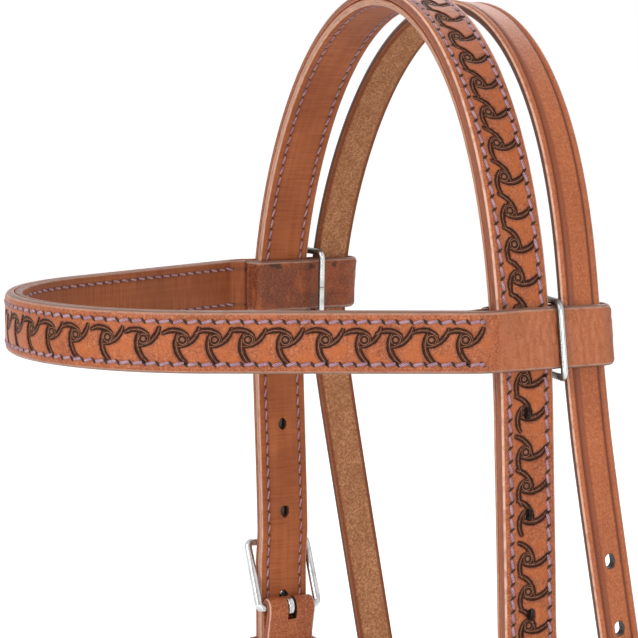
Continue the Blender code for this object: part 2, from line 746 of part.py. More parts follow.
def make_cheekpiece(label, side, finishes):
    """One cheekpiece: buckle at the top, bit loop with two screw posts at the foot."""
    seat = cheek_seat(side)
    spot = seat.spot
    top, plies = seat.chape_path()
    foot = -CHEEK_LENGTH
    neck = foot + BIT_LOOP_NECK
    loop_radius = BIT_LOOP_RADIUS + FACE_PLY / 2
    return_mid = seat.chape_mid - FACE_PLY - PLY_GAP
    loop_mid = (seat.chape_mid + return_mid) / 2
    ramp = []
    for step in range(1, BEND_SEGMENTS):
        share = step / BEND_SEGMENTS
        ramp.append((ease(share), neck - BIT_LOOP_NECK * share))
    bottom = [(return_mid, neck + BIT_RETURN), (return_mid, neck)]
    bottom += [(return_mid + (loop_mid - loop_radius - return_mid) * share, up) for share, up in ramp]
    bottom += arc_points((loop_mid, foot), loop_radius, 180, 360, BIT_LOOP_SEGMENTS)
    outer_step = loop_mid + loop_radius - seat.chape_mid
    bottom += [(seat.chape_mid + outer_step * share, up) for share, up in ramp[::-1]]
    bottom += [(seat.chape_mid, neck)]
    path = bottom + top
    thick = [FACE_PLY] * len(bottom) + plies
    stations = spot_ribbon(spot, path, thick, [STRAP_WIDTH] * len(path))
    face = add_object(f"cheek_{label}_face", ribbon_mesh(stations), finishes["face"], spot.origin)
    cut(face, chape_slot(f"cheek_{label}_slot_cutter", seat, CHEEK_TONGUE_WIDTH))

    lining_mid = seat.chape_out - FACE_PLY - PLY_GAP - LINING_PLY / 2
    lining_path = [(lining_mid, neck + BIT_RETURN + SEAT_GAP), (lining_mid, -CHAPE_RETURN - SEAT_GAP)]
    stations = spot_ribbon(spot, lining_path, [LINING_PLY] * 2, [STRAP_WIDTH] * 2)
    add_object(f"cheek_{label}_lining", ribbon_mesh(stations), finishes["lining"], spot.origin)

    make_buckle(f"cheek_{label}_buckle", seat, CHEEK_TONGUE_WIDTH, CHEEK_TONGUE_PLY, finishes["steel"])
    for kind, below, inner in (
        ("fixed", FIXED_KEEPER_BELOW_BAR, seat.return_mid - FOLD_PLY / 2),
        ("loose", LOOSE_KEEPER_BELOW_BAR, lining_mid - LINING_PLY / 2),
    ):
        make_keeper(f"cheek_{label}_{kind}_keeper", seat, below, inner, STRAP_WIDTH, finishes["strip"])
    make_posts(label, seat, face, neck, return_mid, finishes["steel"])
    return seat


def make_posts(label, seat, face, neck, return_mid, metal):
    """Two screw posts through the cheekpiece's foot, each a headed barrel and a headed screw."""
    spot = seat.spot
    outside = seat.chape_out + SEAT_GAP
    inside = return_mid - FACE_PLY / 2 - SEAT_GAP
    head = POST_HEAD_DIAMETER / 2
    barrel = POST_DIAMETER / 2
    bore = POST_BORE / 2
    shank = SCREW_DIAMETER / 2
    bore_end = outside - SEAT_GAP
    post = [(head * wide, outside + POST_HEAD_HEIGHT * high) for wide, high in POST_HEAD_SHARES]
    post += [
        (head, outside),
        (barrel, outside),
        (barrel, inside + SEAT_GAP),
        (bore, inside + SEAT_GAP),
        (bore, bore_end),
        (0, bore_end),
    ]
    screw = [
        (0, bore_end - SEAT_GAP),
        (shank, bore_end - SEAT_GAP),
        (shank, inside),
        (head, inside),
    ]
    screw += [(head * wide, inside - POST_HEAD_HEIGHT * high) for wide, high in POST_HEAD_SHARES[::-1]]
    spots = []
    for place, up in (("lower", neck + POST_ABOVE_NECK), ("upper", neck + POST_ABOVE_NECK + POST_PITCH)):
        centre = spot.at(0, 0, up)
        add_object(f"cheek_{label}_{place}_post", turned_mesh(spot, up, post), metal, centre)
        add_object(f"cheek_{label}_{place}_screw", turned_mesh(spot, up, screw), metal, centre)
        hole = Spot(0, crown_line, 0, spot.side)
        hole.origin = centre
        spots.append(hole)
    width = POST_DIAMETER + 2 * POST_ROOM
    depth = seat.chape_out + FACE_PLY * 2
    cut(face, hole_cutter(f"cheek_{label}_post_hole_cutter", spots, width, width, depth))


# Throatlatch


def throat_seat(plan):
    """The throatlatch buckle's bar, on the near side, behind the billet at the hole in use."""
    half_span = throat_half_span(plan)
    spot = Spot(half_span, throat_line, BAND_Z - THROAT_BUCKLE_BELOW_BAND, NEAR)
    width = THROAT_WIDTH
    seat = BuckleSeat(spot, THROAT_BAR_DIAMETER, THROAT_BUCKLE_LENGTH, width, THROAT_PLY, THROAT_PLY, 0)
    wrap = seat.bar + SEAT_GAP + THROAT_TONGUE_PLY / 2
    spot.origin = spot.at(-seat.billet_mid, 0, -wrap)
    return seat


def throat_half_span(plan):
    """Half the width between the throatlatch's legs where they hang plumb."""
    low = BAND_BOTTOM_Z - BROWBAND_PLAY
    return plan.throat_span / arch_x(1, THROAT_RISE, low)


def make_throatlatch(plan, finishes):
    """One plain strap: down from the near side's buckle, under the throat, up and over the poll, and back."""
    seat = throat_seat(plan)
    spot = seat.spot
    half_span = throat_half_span(plan)
    chape, plies = seat.chape_path()
    stations = turned_round(spot_ribbon(spot, chape, plies, [THROAT_WIDTH] * len(chape)))

    near_x = half_span - seat.billet_mid + seat.chape_mid
    bow_z = BAND_Z - THROAT_SIDE_DROP
    middle_x = (near_x - half_span) / 2
    bow_half = (near_x + half_span) / 2
    for step in range(BOW_SEGMENTS + 1):
        angle = math.pi * step / BOW_SEGMENTS
        normal = Vector((math.cos(angle) / bow_half, -math.sin(angle) / THROAT_BOW_DEPTH)).normalized()
        x = middle_x + bow_half * math.cos(angle)
        z = bow_z - THROAT_BOW_DEPTH * math.sin(angle)
        station = side_station(throat_line, x, z, normal[0], normal[1], THROAT_PLY, THROAT_WIDTH)
        stations.append(station)
    for z in leg_heights(bow_z, SPRING_Z, LEG_STEP)[1:-1]:
        stations.append(side_station(throat_line, -half_span, z, FAR, 0, THROAT_PLY, THROAT_WIDTH))
    stations += arch_stations(throat_line, half_span, THROAT_RISE, 0, THROAT_PLY, THROAT_WIDTH)[::-1]
    last_hole = THROAT_HOLE_COUNT - THROAT_BUCKLED_HOLE
    wrap = seat.bar + SEAT_GAP + THROAT_TONGUE_PLY / 2
    fall = (last_hole * THROAT_HOLE_PITCH + THROAT_TAIL_PAST_HOLE - wrap) * spot.up[2]
    tip_z = spot.origin[2] - fall
    rows = [(z, THROAT_WIDTH) for z in leg_heights(SPRING_Z, tip_z + TIP_LENGTH, LEG_STEP)[1:]]
    for z, width in rows + tip_widths(tip_z, THROAT_WIDTH):
        stations.append(side_station(throat_line, half_span, z, NEAR, 0, THROAT_PLY, width))
    strap = add_object("throatlatch_strap", ribbon_mesh(stations), finishes["plain"])

    spots = []
    for index in range(THROAT_HOLE_COUNT):
        up = wrap - (index + 1 - THROAT_BUCKLED_HOLE) * THROAT_HOLE_PITCH
        hole = Spot(half_span, throat_line, spot.origin[2], NEAR)
        hole.origin = spot.at(seat.billet_mid, 0, up)
        spots.append(hole)
    cut(strap, hole_cutter("throat_hole_cutter", spots, HOLE_WIDTH, HOLE_LENGTH, THROAT_PLY / 2 + SEAT_GAP))
    cut(strap, chape_slot("throat_slot_cutter", seat, THROAT_TONGUE_WIDTH))
    make_buckle("throat_buckle", seat, THROAT_TONGUE_WIDTH, THROAT_TONGUE_PLY, finishes["steel"])
    inner = seat.return_mid - FOLD_PLY / 2
    make_keeper("throat_fixed_keeper", seat, FIXED_KEEPER_BELOW_BAR, inner, THROAT_WIDTH, finishes["strip"])
    inner = seat.chape_out - THROAT_PLY
    below = THROAT_LOOSE_KEEPER_BELOW_BAR
    make_keeper("throat_loose_keeper", seat, below, inner, THROAT_WIDTH, finishes["strip"])
    return seat


def describe(label, seat):
    """Print where a buckle's bar lies, for whoever writes the joints down."""
    place = ", ".join(f"{value:.5f}" for value in seat.spot.origin)
    axis = ", ".join(f"{value:.5f}" for value in seat.spot.back)
    print(f"{label}: bar at ({place}), axis ({axis})")


def main():
    clear_scene()
    finishes = {
        "face": leather("tooled_leather", (0.50, 0.17, 0.06), 0.40),
        "lining": leather("lining_leather", (0.32, 0.12, 0.045), 0.55),
        "plain": leather("plain_leather", (0.46, 0.19, 0.08), 0.45),
        "strip": leather("keeper_leather", (0.42, 0.15, 0.055), 0.45),
        "steel": steel("stainless_steel", (0.75, 0.75, 0.76), 0.25),
        "wire": steel("steel_wire", (0.62, 0.62, 0.63), 0.30),
    }
    make_crown(finishes["face"], finishes["lining"])
    plan = make_browband(finishes["face"], finishes["lining"])
    make_wire_loops(plan, finishes["wire"])
    for label, side in (("near", NEAR), ("far", FAR)):
        describe(f"cheek_{label}", make_cheekpiece(label, side, finishes))
    describe("throat", make_throatlatch(plan, finishes))


main()
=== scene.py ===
"""Looks of the western headstall: tooled russet leather, lilac stitching, plain throatlatch and bright hardware."""
import math

import bmesh
import bpy
import numpy as np
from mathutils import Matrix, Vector


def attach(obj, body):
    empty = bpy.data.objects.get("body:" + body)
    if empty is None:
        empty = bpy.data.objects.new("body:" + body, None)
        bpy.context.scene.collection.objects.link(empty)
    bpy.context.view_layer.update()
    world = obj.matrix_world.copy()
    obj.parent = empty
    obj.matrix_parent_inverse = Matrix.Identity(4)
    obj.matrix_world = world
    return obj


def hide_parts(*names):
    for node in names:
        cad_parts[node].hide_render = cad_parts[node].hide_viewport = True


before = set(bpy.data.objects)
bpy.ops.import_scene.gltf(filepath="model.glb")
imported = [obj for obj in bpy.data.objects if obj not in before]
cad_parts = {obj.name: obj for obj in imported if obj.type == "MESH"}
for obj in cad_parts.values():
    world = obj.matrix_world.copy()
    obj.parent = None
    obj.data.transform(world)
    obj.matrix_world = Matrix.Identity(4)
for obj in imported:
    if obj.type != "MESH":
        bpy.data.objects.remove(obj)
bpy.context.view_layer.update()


# Camera: level with the browband, ahead of the horse's near shoulder, with a long lens.
CAMERA_AT = Vector((0.80024, -0.40369, -0.00320))
CAMERA_LOOKS_AT = Vector((-0.00974, -0.02461, -0.10431))
SENSOR_WIDTH_MM = 36
LENS_MM = 150.88
NEAREST_SEEN = 0.05
FARTHEST_SEEN = 20

camera_data = bpy.data.cameras.new("camera")
camera_data.sensor_width = SENSOR_WIDTH_MM
camera_data.lens = LENS_MM
camera_data.clip_start = NEAREST_SEEN
camera_data.clip_end = FARTHEST_SEEN
camera = bpy.data.objects.new("camera", camera_data)
camera.location = CAMERA_AT
camera.rotation_euler = (CAMERA_LOOKS_AT - CAMERA_AT).to_track_quat("-Z", "Y").to_euler()
bpy.context.scene.collection.objects.link(camera)
bpy.context.scene.camera = camera


# Crown: one strap over the poll, from billet tip to billet tip. The face is thick tooling leather, stamped
# with a running row of three-armed swirls, antiqued, and stitched to its lining along both edges.
STRAP_WIDTH = 0.01905
FACE_PLY = 0.0030
LINING_PLY = 0.0025
PLY_GAP = 0.0003
SEAT_GAP = 0.0003
FOLD_PLY = 0.0020
STRAP_THICK = FACE_PLY + PLY_GAP + LINING_PLY
CROWN_HALF_SPAN = 0.0922
CROWN_RISE = 0.1288
BAND_Z = -0.1009
SPRING_Z = STRAP_THICK / 2 - CROWN_RISE
LEAN_UP = math.tan(math.radians(2.16))
LEAN_DOWN = math.tan(math.radians(1.87))
LEAN_EASE = 0.0120
LEAN_END_Z = BAND_Z - 0.0920
FIRST_HOLE_Z = BAND_Z - STRAP_WIDTH / 2 - 0.0130
HOLE_PITCH = 0.0315
HOLE_COUNT = 6
BUCKLED_HOLE_Z = FIRST_HOLE_Z - 3 * HOLE_PITCH
BILLET_TIP_Z = FIRST_HOLE_Z - (HOLE_COUNT - 1) * HOLE_PITCH - 0.0270
HOLE_WIDTH = 0.0034
HOLE_LENGTH = 0.0048
TIP_LENGTH = 0.0110
TIP_END_SHARE = 0.28
BILLET_KICK = 0.0020
KICK_RUN = 0.0160
KICK_START_Z = BUCKLED_HOLE_Z + 0.0230 + KICK_RUN / 4

SWIRL_PITCH = HOLE_PITCH / 3
SWIRL_OFF_MIDDLE = 0.0010
SWIRL_REACH = 0.0085
SWIRL_SIDE_REACH = 0.0069
SWIRL_RING_MM = 1.42
SWIRL_DISC_MM = 1.62
SWIRL_BUTTON_MM = 0.70
SWIRL_AWAY_MM = 20.0
SWIRL_ARMS_MM = (
    ((-2.6, -3.4), 6.3, 50, 118, (0.62, 0.90, 0.62)),
    ((0.0, 0.0), 1.95, -48, 62, (0.22, 0.46, 0.60)),
    ((-2.03, 5.45), 7.59, -84, -17, (0.45, 0.90, 0.66)),
    ((5.2, -1.5), 7.15, 157, 229, (0.72, 1.00, 0.80)),
)
STAMP_ATTRIBUTES = ("stamp_u", "stamp_v", "stamp_on", "other_u", "other_v", "other_on")
SWIRL_DEPTH = 0.00042
RING_LINE_MM = 0.22
ARM_LINE = 0.24
BUTTON_HEIGHT = 1.3
RIDGE_SHARE = 0.55
LIP_SHARE = 0.16
CROWN_RINGS_PAST_HOLE_MM = (
    -45.3, -32.0, -22.5, -12.0, 0.2, 10.4, 20.6, 30.8, 41.0, 51.2, 61.7, 72.7, 84.0, 95.0, 106.2)
STITCH_PITCH = 0.00425
STITCH_ROW = 0.00645
CHANNEL_DEPTH = 0.00013
CHANNEL_WIDTH = 0.0008
DIMPLE_DEPTH = 0.00030
DIMPLE_WIDTH = 0.00045
ROW_OVERRUN = 0.0005
TIP_MARGIN = 0.003
HOLE_SHEAR = 0.60
HOLE_SINK = 0.00030
HOLE_SWELL = 0.00010
TOOLED_STEP_ALONG = 0.0005
TOOLED_STEP_ACROSS = 0.00040
PLAIN_STEP_ALONG = 0.0010
PLAIN_STEP_ACROSS = 0.0008
FACE_CORNER = 0.0019
SEAM_CORNER = 0.00020
LINING_CORNER = 0.0013
CORNER_STEPS = 4


def smooth_step(value, start, end):
    """0 before start, 1 after end, and an even ease between them."""
    share = np.clip((np.asarray(value, float) - start) / (end - start), 0, 1)
    return share * share * (3 - 2 * share)


def bell(offset, width):
    """1 in the middle, fading evenly to both sides."""
    return np.exp(-(offset / width) ** 2)


def soft_run(distance):
    """Distance past a bend, with the bend itself eased."""
    return LEAN_EASE * np.logaddexp(0, np.asarray(distance, float) / LEAN_EASE)


def crown_y(z):
    """How far back the crown and the cheekpieces lie at a height."""
    def lean(height):
        below = soft_run(BAND_Z - height) - soft_run(LEAN_END_Z - height)
        return LEAN_UP * soft_run(height - BAND_Z) + LEAN_DOWN * below
    return lean(z) - lean(0)


def unit(vectors):
    """The same directions, each one long."""
    return vectors / np.linalg.norm(vectors, axis=-1, keepdims=True)


class Route:
    """The line a strap follows. run is the length along it, normal its grain side, across its left-hand side."""

    def __init__(self, points, across, step, ease=0.0, ply=FACE_PLY):
        points = np.asarray(points, float)
        ply = np.broadcast_to(np.asarray(ply, float), (len(points),))[:, None]
        rows = np.hstack((points, np.broadcast_to(np.asarray(across, float), points.shape), ply))
        if ease:
            rows = self.even(rows, ease / 3)
            rows[:, :3] = self.eased(rows[:, :3])
        rows = self.even(rows, step)
        self.centre, self.ply = rows[:, :3], rows[:, 6]
        self.tangent = unit(np.gradient(self.centre, axis=0))
        sideways = rows[:, 3:6]
        self.across = unit(sideways - (sideways * self.tangent).sum(1)[:, None] * self.tangent)
        self.normal = np.cross(self.tangent, self.across)
        self.run = self.lengths(self.centre)

    def turned(self):
        """The same line walked from its other end, so that its grain side is the old flesh side."""
        return Route(self.centre[::-1], self.across[::-1], self.run[-1] / (len(self.run) - 1), 0, self.ply[::-1])

    @staticmethod
    def lengths(points):
        return np.concatenate(([0], np.cumsum(np.linalg.norm(np.diff(points, axis=0), axis=1))))

    def even(self, rows, step):
        """The same line with its points spaced evenly."""
        lengths = self.lengths(rows[:, :3])
        count = max(2, int(round(lengths[-1] / step)))
        marks = np.linspace(0, lengths[-1], count + 1)
        return np.stack([np.interp(marks, lengths, column) for column in rows.T], axis=1)

    @staticmethod
    def eased(points):
        """Corners rounded off a little, the ends left where they are."""
        weights = np.exp(-0.5 * (np.arange(-6, 7) / 2.2) ** 2)
        weights /= weights.sum()
        before = 2 * points[0] - points[6:0:-1]
        after = 2 * points[-1] - points[-2:-8:-1]
        long = np.concatenate((before, points, after))
        return np.stack([np.convolve(long[:, k], weights, mode="valid") for k in range(3)], axis=1)

    def at(self, run, side=0.0, height=0.0):
        """Points on or beside the strap."""
        run = np.atleast_1d(np.asarray(run, float))
        place = np.stack([np.interp(run, self.run, self.centre[:, k]) for k in range(3)], axis=1)
        across, normal = self.across_at(run), self.normal_at(run)
        side = np.broadcast_to(side, run.shape)[:, None]
        height = np.broadcast_to(height, run.shape)[:, None]
        return place + across * side + normal * height

    def across_at(self, run):
        return unit(np.stack([np.interp(run, self.run, self.across[:, k]) for k in range(3)], axis=1))

    def normal_at(self, run):
        return unit(np.stack([np.interp(run, self.run, self.normal[:, k]) for k in range(3)], axis=1))

    def tangent_at(self, run):
        return unit(np.stack([np.interp(run, self.run, self.tangent[:, k]) for k in range(3)], axis=1))

    def run_nearest(self, point):
        """The length along the line that is nearest to a point."""
        return self.run[np.argmin(np.linalg.norm(self.centre - np.asarray(point), axis=1))]


def crown_route(step):
    """Up the near leg, over the poll and down the far leg, through the middle of both plies."""
    leg_z = np.arange(BILLET_TIP_Z, SPRING_Z, 0.0005)
    kick = BILLET_KICK * smooth_step(KICK_START_Z - leg_z, 0, KICK_RUN)
    turn = np.linspace(-math.pi / 2, math.pi / 2, 700)
    x = np.concatenate((CROWN_HALF_SPAN + kick, -CROWN_HALF_SPAN * np.sin(turn), -(CROWN_HALF_SPAN + kick)[::-1]))
    z = np.concatenate((leg_z, SPRING_Z + CROWN_RISE * np.cos(turn), leg_z[::-1]))
    y = crown_y(z)
    lean = np.gradient(crown_y(np.linspace(-0.35, 0.02, 400)), np.linspace(-0.35, 0.02, 400))
    slope = np.interp(z, np.linspace(-0.35, 0.02, 400), lean)
    across = np.stack((np.zeros_like(z), -np.ones_like(z), slope), axis=1)
    return Route(np.stack((x, y, z), axis=1), unit(across), step)


class Arm:
    """One arm of the swirl stamp: part of a circle, in millimetres from the middle of the stamp's ring."""

    def __init__(self, centre, radius, start, end, halves):
        self.centre, self.radius = centre, radius
        middle = math.radians((start + end) / 2)
        self.half_turn = math.radians((end - start) / 2)
        self.aim = (math.cos(middle), math.sin(middle))
        first, midway, last = halves
        self.wide = (midway, (last - first) / 2, (first + last) / 2 - midway)
        self.end_wide = (first + last) / 2

    def marks(self, u, v):
        """Offset from the arm's middle line in half-widths, signed, and distance from it, past its ends too."""
        off_u, off_v = u - self.centre[0], v - self.centre[1]
        reach = np.hypot(off_u, off_v)
        turn = np.arctan2(self.aim[0] * off_v - self.aim[1] * off_u, self.aim[0] * off_u + self.aim[1] * off_v)
        along = turn / self.half_turn
        share = np.clip(along, -1, 1)
        off = (reach - self.radius) / (self.wide[0] + self.wide[1] * share + self.wide[2] * share * share)
        beyond = np.maximum(np.abs(along) - 1, 0) * self.radius * self.half_turn / self.end_wide
        return off, np.hypot(off, beyond)


SWIRL_ARMS = [Arm(*arm) for arm in SWIRL_ARMS_MM]


def swirl_field(run, side, rings, reach=(0, 1)):
    """Each point's place in its nearest even and its nearest odd stamp, in millimetres, and if they reach it.

    rings gives each stamp's place along the strap, its shift across it and its turn.
    """
    rows = []
    tooled = (np.abs(side) < SWIRL_SIDE_REACH) & (run > reach[0]) & (run < reach[1])
    for first in (0, 1):
        every_other = np.asarray(rings)[first::2]
        bounds = (every_other[1:, 0] + every_other[:-1, 0]) / 2
        place, shift, turn = np.moveaxis(every_other[np.searchsorted(bounds, run)], -1, 0)
        along, over = run - place, side - SWIRL_OFF_MIDDLE - shift
        rows.append((np.cos(turn) * along + np.sin(turn) * over) * 1000)
        rows.append((np.cos(turn) * over - np.sin(turn) * along) * 1000)
        rows.append(tooled & (np.abs(along) < SWIRL_REACH))
    return np.stack(rows).astype(float)


def hand_set(places, seed, off=0.00025, turn=math.radians(3.5)):
    """Stamps struck by hand at these places: each a little off and a little turned."""
    shake = np.random.default_rng(seed).uniform(-1, 1, (len(places), 3))
    return np.column_stack((np.asarray(places) + off * shake[:, 0], 0.6 * off * shake[:, 1], turn * shake[:, 2]))


def swirl_relief(field):
    """Height of the stamped surface: grooves with a fine ridge in them, and a lip swelled up beside them."""
    away, ridge = np.full(field[0].shape, SWIRL_AWAY_MM), np.zeros(field[0].shape)
    for u, v, reached in (field[:3], field[3:]):
        ring = np.hypot(u, v)
        off_stamp = SWIRL_AWAY_MM * (1 - reached)
        away = np.minimum(away, ring / SWIRL_DISC_MM + off_stamp)
        button = BUTTON_HEIGHT * np.exp(-(ring / SWIRL_BUTTON_MM) ** 4)
        raised = bell(ring - SWIRL_RING_MM, RING_LINE_MM) + button
        ridge = np.maximum(ridge, raised * reached)
        for arm in SWIRL_ARMS:
            off, arm_away = arm.marks(u, v)
            away = np.minimum(away, arm_away + off_stamp)
            ridge = np.maximum(ridge, bell(off, ARM_LINE) * (arm_away < 0.95) * reached)
    groove = 1 - smooth_step(away, 0.72, 1.15)
    return SWIRL_DEPTH * (-groove + RIDGE_SHARE * ridge * groove + LIP_SHARE * bell(away - 1.5, 0.28))


def stitch_row(run, length, tip=False):
    """How far from the middle the stitches lie. Past a tapered tip the rows draw together."""
    if not tip:
        return STITCH_ROW
    left = np.clip((np.minimum(run, length - run) - TIP_MARGIN) / TIP_LENGTH, 0, 1)
    return STITCH_ROW * np.sqrt(1 - (1 - left) ** 2)


def row_offset(run, side, length, tip=False):
    """How far a point lies from the nearer row of stitches, outwards."""
    return np.abs(side) - stitch_row(run, length, tip)


def stitch_relief(run, side, off_row, start, end):
    """The sunk channel that a row of stitches is pulled into, with a dimple at each needle hole."""
    inside = (run > start - ROW_OVERRUN) & (run < end + ROW_OVERRUN)
    share = (run - start) / STITCH_PITCH
    off_hole = (share - np.round(share)) * STITCH_PITCH + HOLE_SHEAR * off_row * np.sign(side)
    dimple = bell(np.hypot(off_hole, off_row), DIMPLE_WIDTH)
    return np.where(inside, -1, 0) * (CHANNEL_DEPTH * bell(off_row, CHANNEL_WIDTH) + DIMPLE_DEPTH * dimple)


def hole_relief(run, side, centres):
    """The leather drawn in a little round each punched hole."""
    raised = np.zeros_like(run)
    straight = (HOLE_LENGTH - HOLE_WIDTH) / 2
    for centre in centres:
        beyond = np.maximum(np.abs(run - centre) - straight, 0)
        off_edge = np.hypot(beyond, side) - HOLE_WIDTH / 2
        raised -= HOLE_SINK * bell(np.clip(off_edge, 0, None), 0.00055)
        raised += HOLE_SWELL * bell(off_edge - 0.0013, 0.0005)
    return raised


def tip_share(run, length, tips=("start", "end")):
    """How wide a strap is near its rounded tips, as a share of its full width."""
    left = np.full(len(run), TIP_LENGTH)
    if "start" in tips:
        left = np.minimum(left, run)
    if "end" in tips:
        left = np.minimum(left, length - run)
    return np.maximum(np.sqrt(np.clip(1 - (1 - left / TIP_LENGTH) ** 2, 0, 1)), TIP_END_SHARE)


def strap_profile(width, grain_corner, flesh_corner, across_step):
    """Shares of half the width and half the thickness round a strap's cross-section, with the corner sizes."""
    flat = width / 2 - grain_corner
    count = max(4, int(round(2 * flat / across_step)))
    rows = [(side, 1.0, 0.0, 0.0) for side in np.linspace(-flat, flat, count + 1)]
    for step in range(1, CORNER_STEPS + 1):
        turn = math.pi / 2 * step / CORNER_STEPS
        rows.append((flat, 1.0, grain_corner * math.sin(turn), grain_corner * (math.cos(turn) - 1)))
    edge = width / 2 - flesh_corner
    for step in range(CORNER_STEPS):
        turn = math.pi / 2 * step / (CORNER_STEPS - 1)
        rows.append((edge, -1.0, flesh_corner * math.cos(turn), flesh_corner * (1 - math.sin(turn))))
    mirrored = [(-side, level, -out, up) for side, level, out, up in rows[count + 1 :]]
    bottom = [(side, -1.0, 0.0, 0.0) for side in np.linspace(edge, -edge, 7)[1:-1]]
    return np.array(rows + bottom + mirrored[::-1]), count + 1


def mesh_piece(name, points, quads, loops=(), attributes=None):
    """A mesh object at the origin from arrays of points and four-sided faces, with end faces of any size."""
    mesh = bpy.data.meshes.new(name)
    sizes = [4] * len(quads) + [len(loop) for loop in loops]
    corners = np.concatenate([np.asarray(quads, np.int32).ravel()] + [np.asarray(loop, np.int32) for loop in loops])
    mesh.vertices.add(len(points))
    mesh.vertices.foreach_set("co", np.asarray(points, np.float32).ravel())
    mesh.loops.add(len(corners))
    mesh.loops.foreach_set("vertex_index", corners.astype(np.int32))
    mesh.polygons.add(len(sizes))
    mesh.polygons.foreach_set("loop_start", np.concatenate(([0], np.cumsum(sizes)[:-1])).astype(np.int32))
    mesh.update(calc_edges=True)
    mesh.validate()
    mesh.shade_smooth()
    for key, values in (attributes or {}).items():
        layer = mesh.attributes.new(key, "FLOAT", "POINT")
        layer.data.foreach_set("value", np.asarray(values, np.float32).ravel())
    piece = bpy.data.objects.new(name, mesh)
    bpy.context.scene.collection.objects.link(piece)
    return piece


def ring_quads(rings, around, closed_run=False):
    """Faces of a tube of so many rings of so many points."""
    ring = np.arange(rings if closed_run else rings - 1)
    point = np.arange(around)
    here, there = np.meshgrid(ring, point, indexing="ij")
    after = (there + 1) % around
    following = (here + 1) % rings
    corners = (here * around + there, following * around + there, following * around + after, here * around + after)
    return np.stack(corners, axis=-1).reshape(-1, 4)


def swept(name, centre, across, normal, side, height, attributes=None, is_closed=False, give=0):
    """A mesh swept along a line from its cross-section's offsets sideways and outwards, ring by ring."""
    points = centre[:, None] + across[:, None] * side[..., None] + normal[:, None] * height[..., None] + give
    rings, around = side.shape
    ends = () if is_closed else (np.arange(around), np.arange(around)[::-1] + (rings - 1) * around)
    return mesh_piece(name, points.reshape(-1, 3), ring_quads(rings, around, is_closed), ends, attributes)


def strap_piece(name, route, width, corners, across_step, offset=0.0, relief=None, field=None, tips=(),
                seam=None, ply=None, give=None):
    """A strap of leather along a route. relief, field and seam take the run and the side of the grain surface.

    tips names its rounded ends. give moves points where the strap is pressed out of its plain line.
    """
    profile, top = strap_profile(width, *corners, across_step)
    ply = (route.ply if ply is None else np.full(len(route.run), ply))[:, None]
    share = tip_share(route.run, route.run[-1], tips)[:, None]
    side = (profile[:, 0] + profile[:, 2])[None, :] * share
    height = offset + profile[None, :, 1] * ply / 2 + profile[None, :, 3]
    level = (height - offset) / (ply / 2)
    run = np.broadcast_to(route.run[:, None], side.shape)
    stamp = np.zeros((6, *side.shape))
    stamp[1] = stamp[4] = SWIRL_AWAY_MM
    if field is not None:
        stamp[:, :, :top] = field(run[:, :top], side[:, :top])
    if relief is not None:
        height[:, :top] += relief(run[:, :top], side[:, :top], stamp[:, :, :top])
    attributes = {"run": run, "side": side, "level": level, "whole": np.ones_like(side)}
    if field is not None:
        attributes.update(zip(STAMP_ATTRIBUTES, stamp))
    if seam is not None:
        attributes["seam"] = np.where(level > 0, seam(run, side), 1.0)
    moved = 0 if give is None else give(route, side)
    return swept(name, route.centre, route.across, route.normal, side, height, attributes, give=moved)


def vertex_values(items, key, width=1):
    """What each vertex, or each value of a layer, holds under a key."""
    values = np.zeros(len(items) * width, np.float32)
    items.foreach_get(key, values)
    return values.reshape(-1, width) if width > 1 else values


def cut_out(piece, cutters):
    """Take the cutters' shapes out of a piece."""
    for cutter in cutters:
        boolean = piece.modifiers.new("cut", "BOOLEAN")
        boolean.operation, boolean.solver, boolean.object = "DIFFERENCE", "EXACT", cutter
    piece.data = bpy.data.meshes.new_from_object(piece.evaluated_get(bpy.context.evaluated_depsgraph_get()))
    piece.modifiers.clear()
    for cutter in cutters:
        bpy.data.objects.remove(cutter)


PUNCHED_RIM_TURN = math.radians(66)


def punch(piece, cutters):
    """Cut holes through a strap. The new rims take their neighbours' values and are marked as cut leather."""
    points = vertex_values(piece.data.vertices, "co", 3)
    values = {layer.name: vertex_values(layer.data, "value") for layer in piece.data.attributes
              if layer.domain == "POINT" and layer.data_type == "FLOAT"}
    cut_out(piece, cutters)
    mesh = piece.data
    cut = np.flatnonzero(vertex_values(mesh.attributes["whole"].data, "value") < 0.5)
    places = vertex_values(mesh.vertices, "co", 3)
    nearest = [np.argmin(((points - places[index]) ** 2).sum(1)) for index in cut]
    for key, before in values.items():
        after = vertex_values(mesh.attributes[key].data, "value")
        after[cut] = 0 if key == "whole" else before[nearest]
        mesh.attributes[key].data.foreach_set("value", after)
    mesh.set_sharp_from_angle(angle=PUNCHED_RIM_TURN)


def hole_cutter(route, run, width, length, depth):
    """An oblong punch that stands through a strap at a place along it."""
    straight = (length - width) / 2
    outline = []
    for end, turns in ((straight, np.linspace(0, math.pi, 11)), (-straight, np.linspace(math.pi, math.tau, 11))):
        outline += [(end + width / 2 * math.sin(turn), width / 2 * math.cos(turn)) for turn in turns]
    outline = np.array(outline)
    centre, across = route.at(run)[0], route.across_at([run])[0]
    normal, tangent = route.normal_at([run])[0], route.tangent_at([run])[0]
    flat = centre + outline[:, :1] * tangent + outline[:, 1:] * across
    points = np.concatenate((flat - normal * depth, flat + normal * depth))
    count = len(outline)
    here = np.arange(count)
    after = (here + 1) % count
    quads = np.stack((here, after, after + count, here + count), axis=1)
    cutter = mesh_piece("punch", points, quads, (here[::-1], here + count))
    return outward(cutter)


def outward(piece):
    """Faces turned to point out of a closed mesh."""
    shape = bmesh.new()
    shape.from_mesh(piece.data)
    bmesh.ops.recalc_face_normals(shape, faces=shape.faces)
    shape.to_mesh(piece.data)
    shape.free()
    return piece


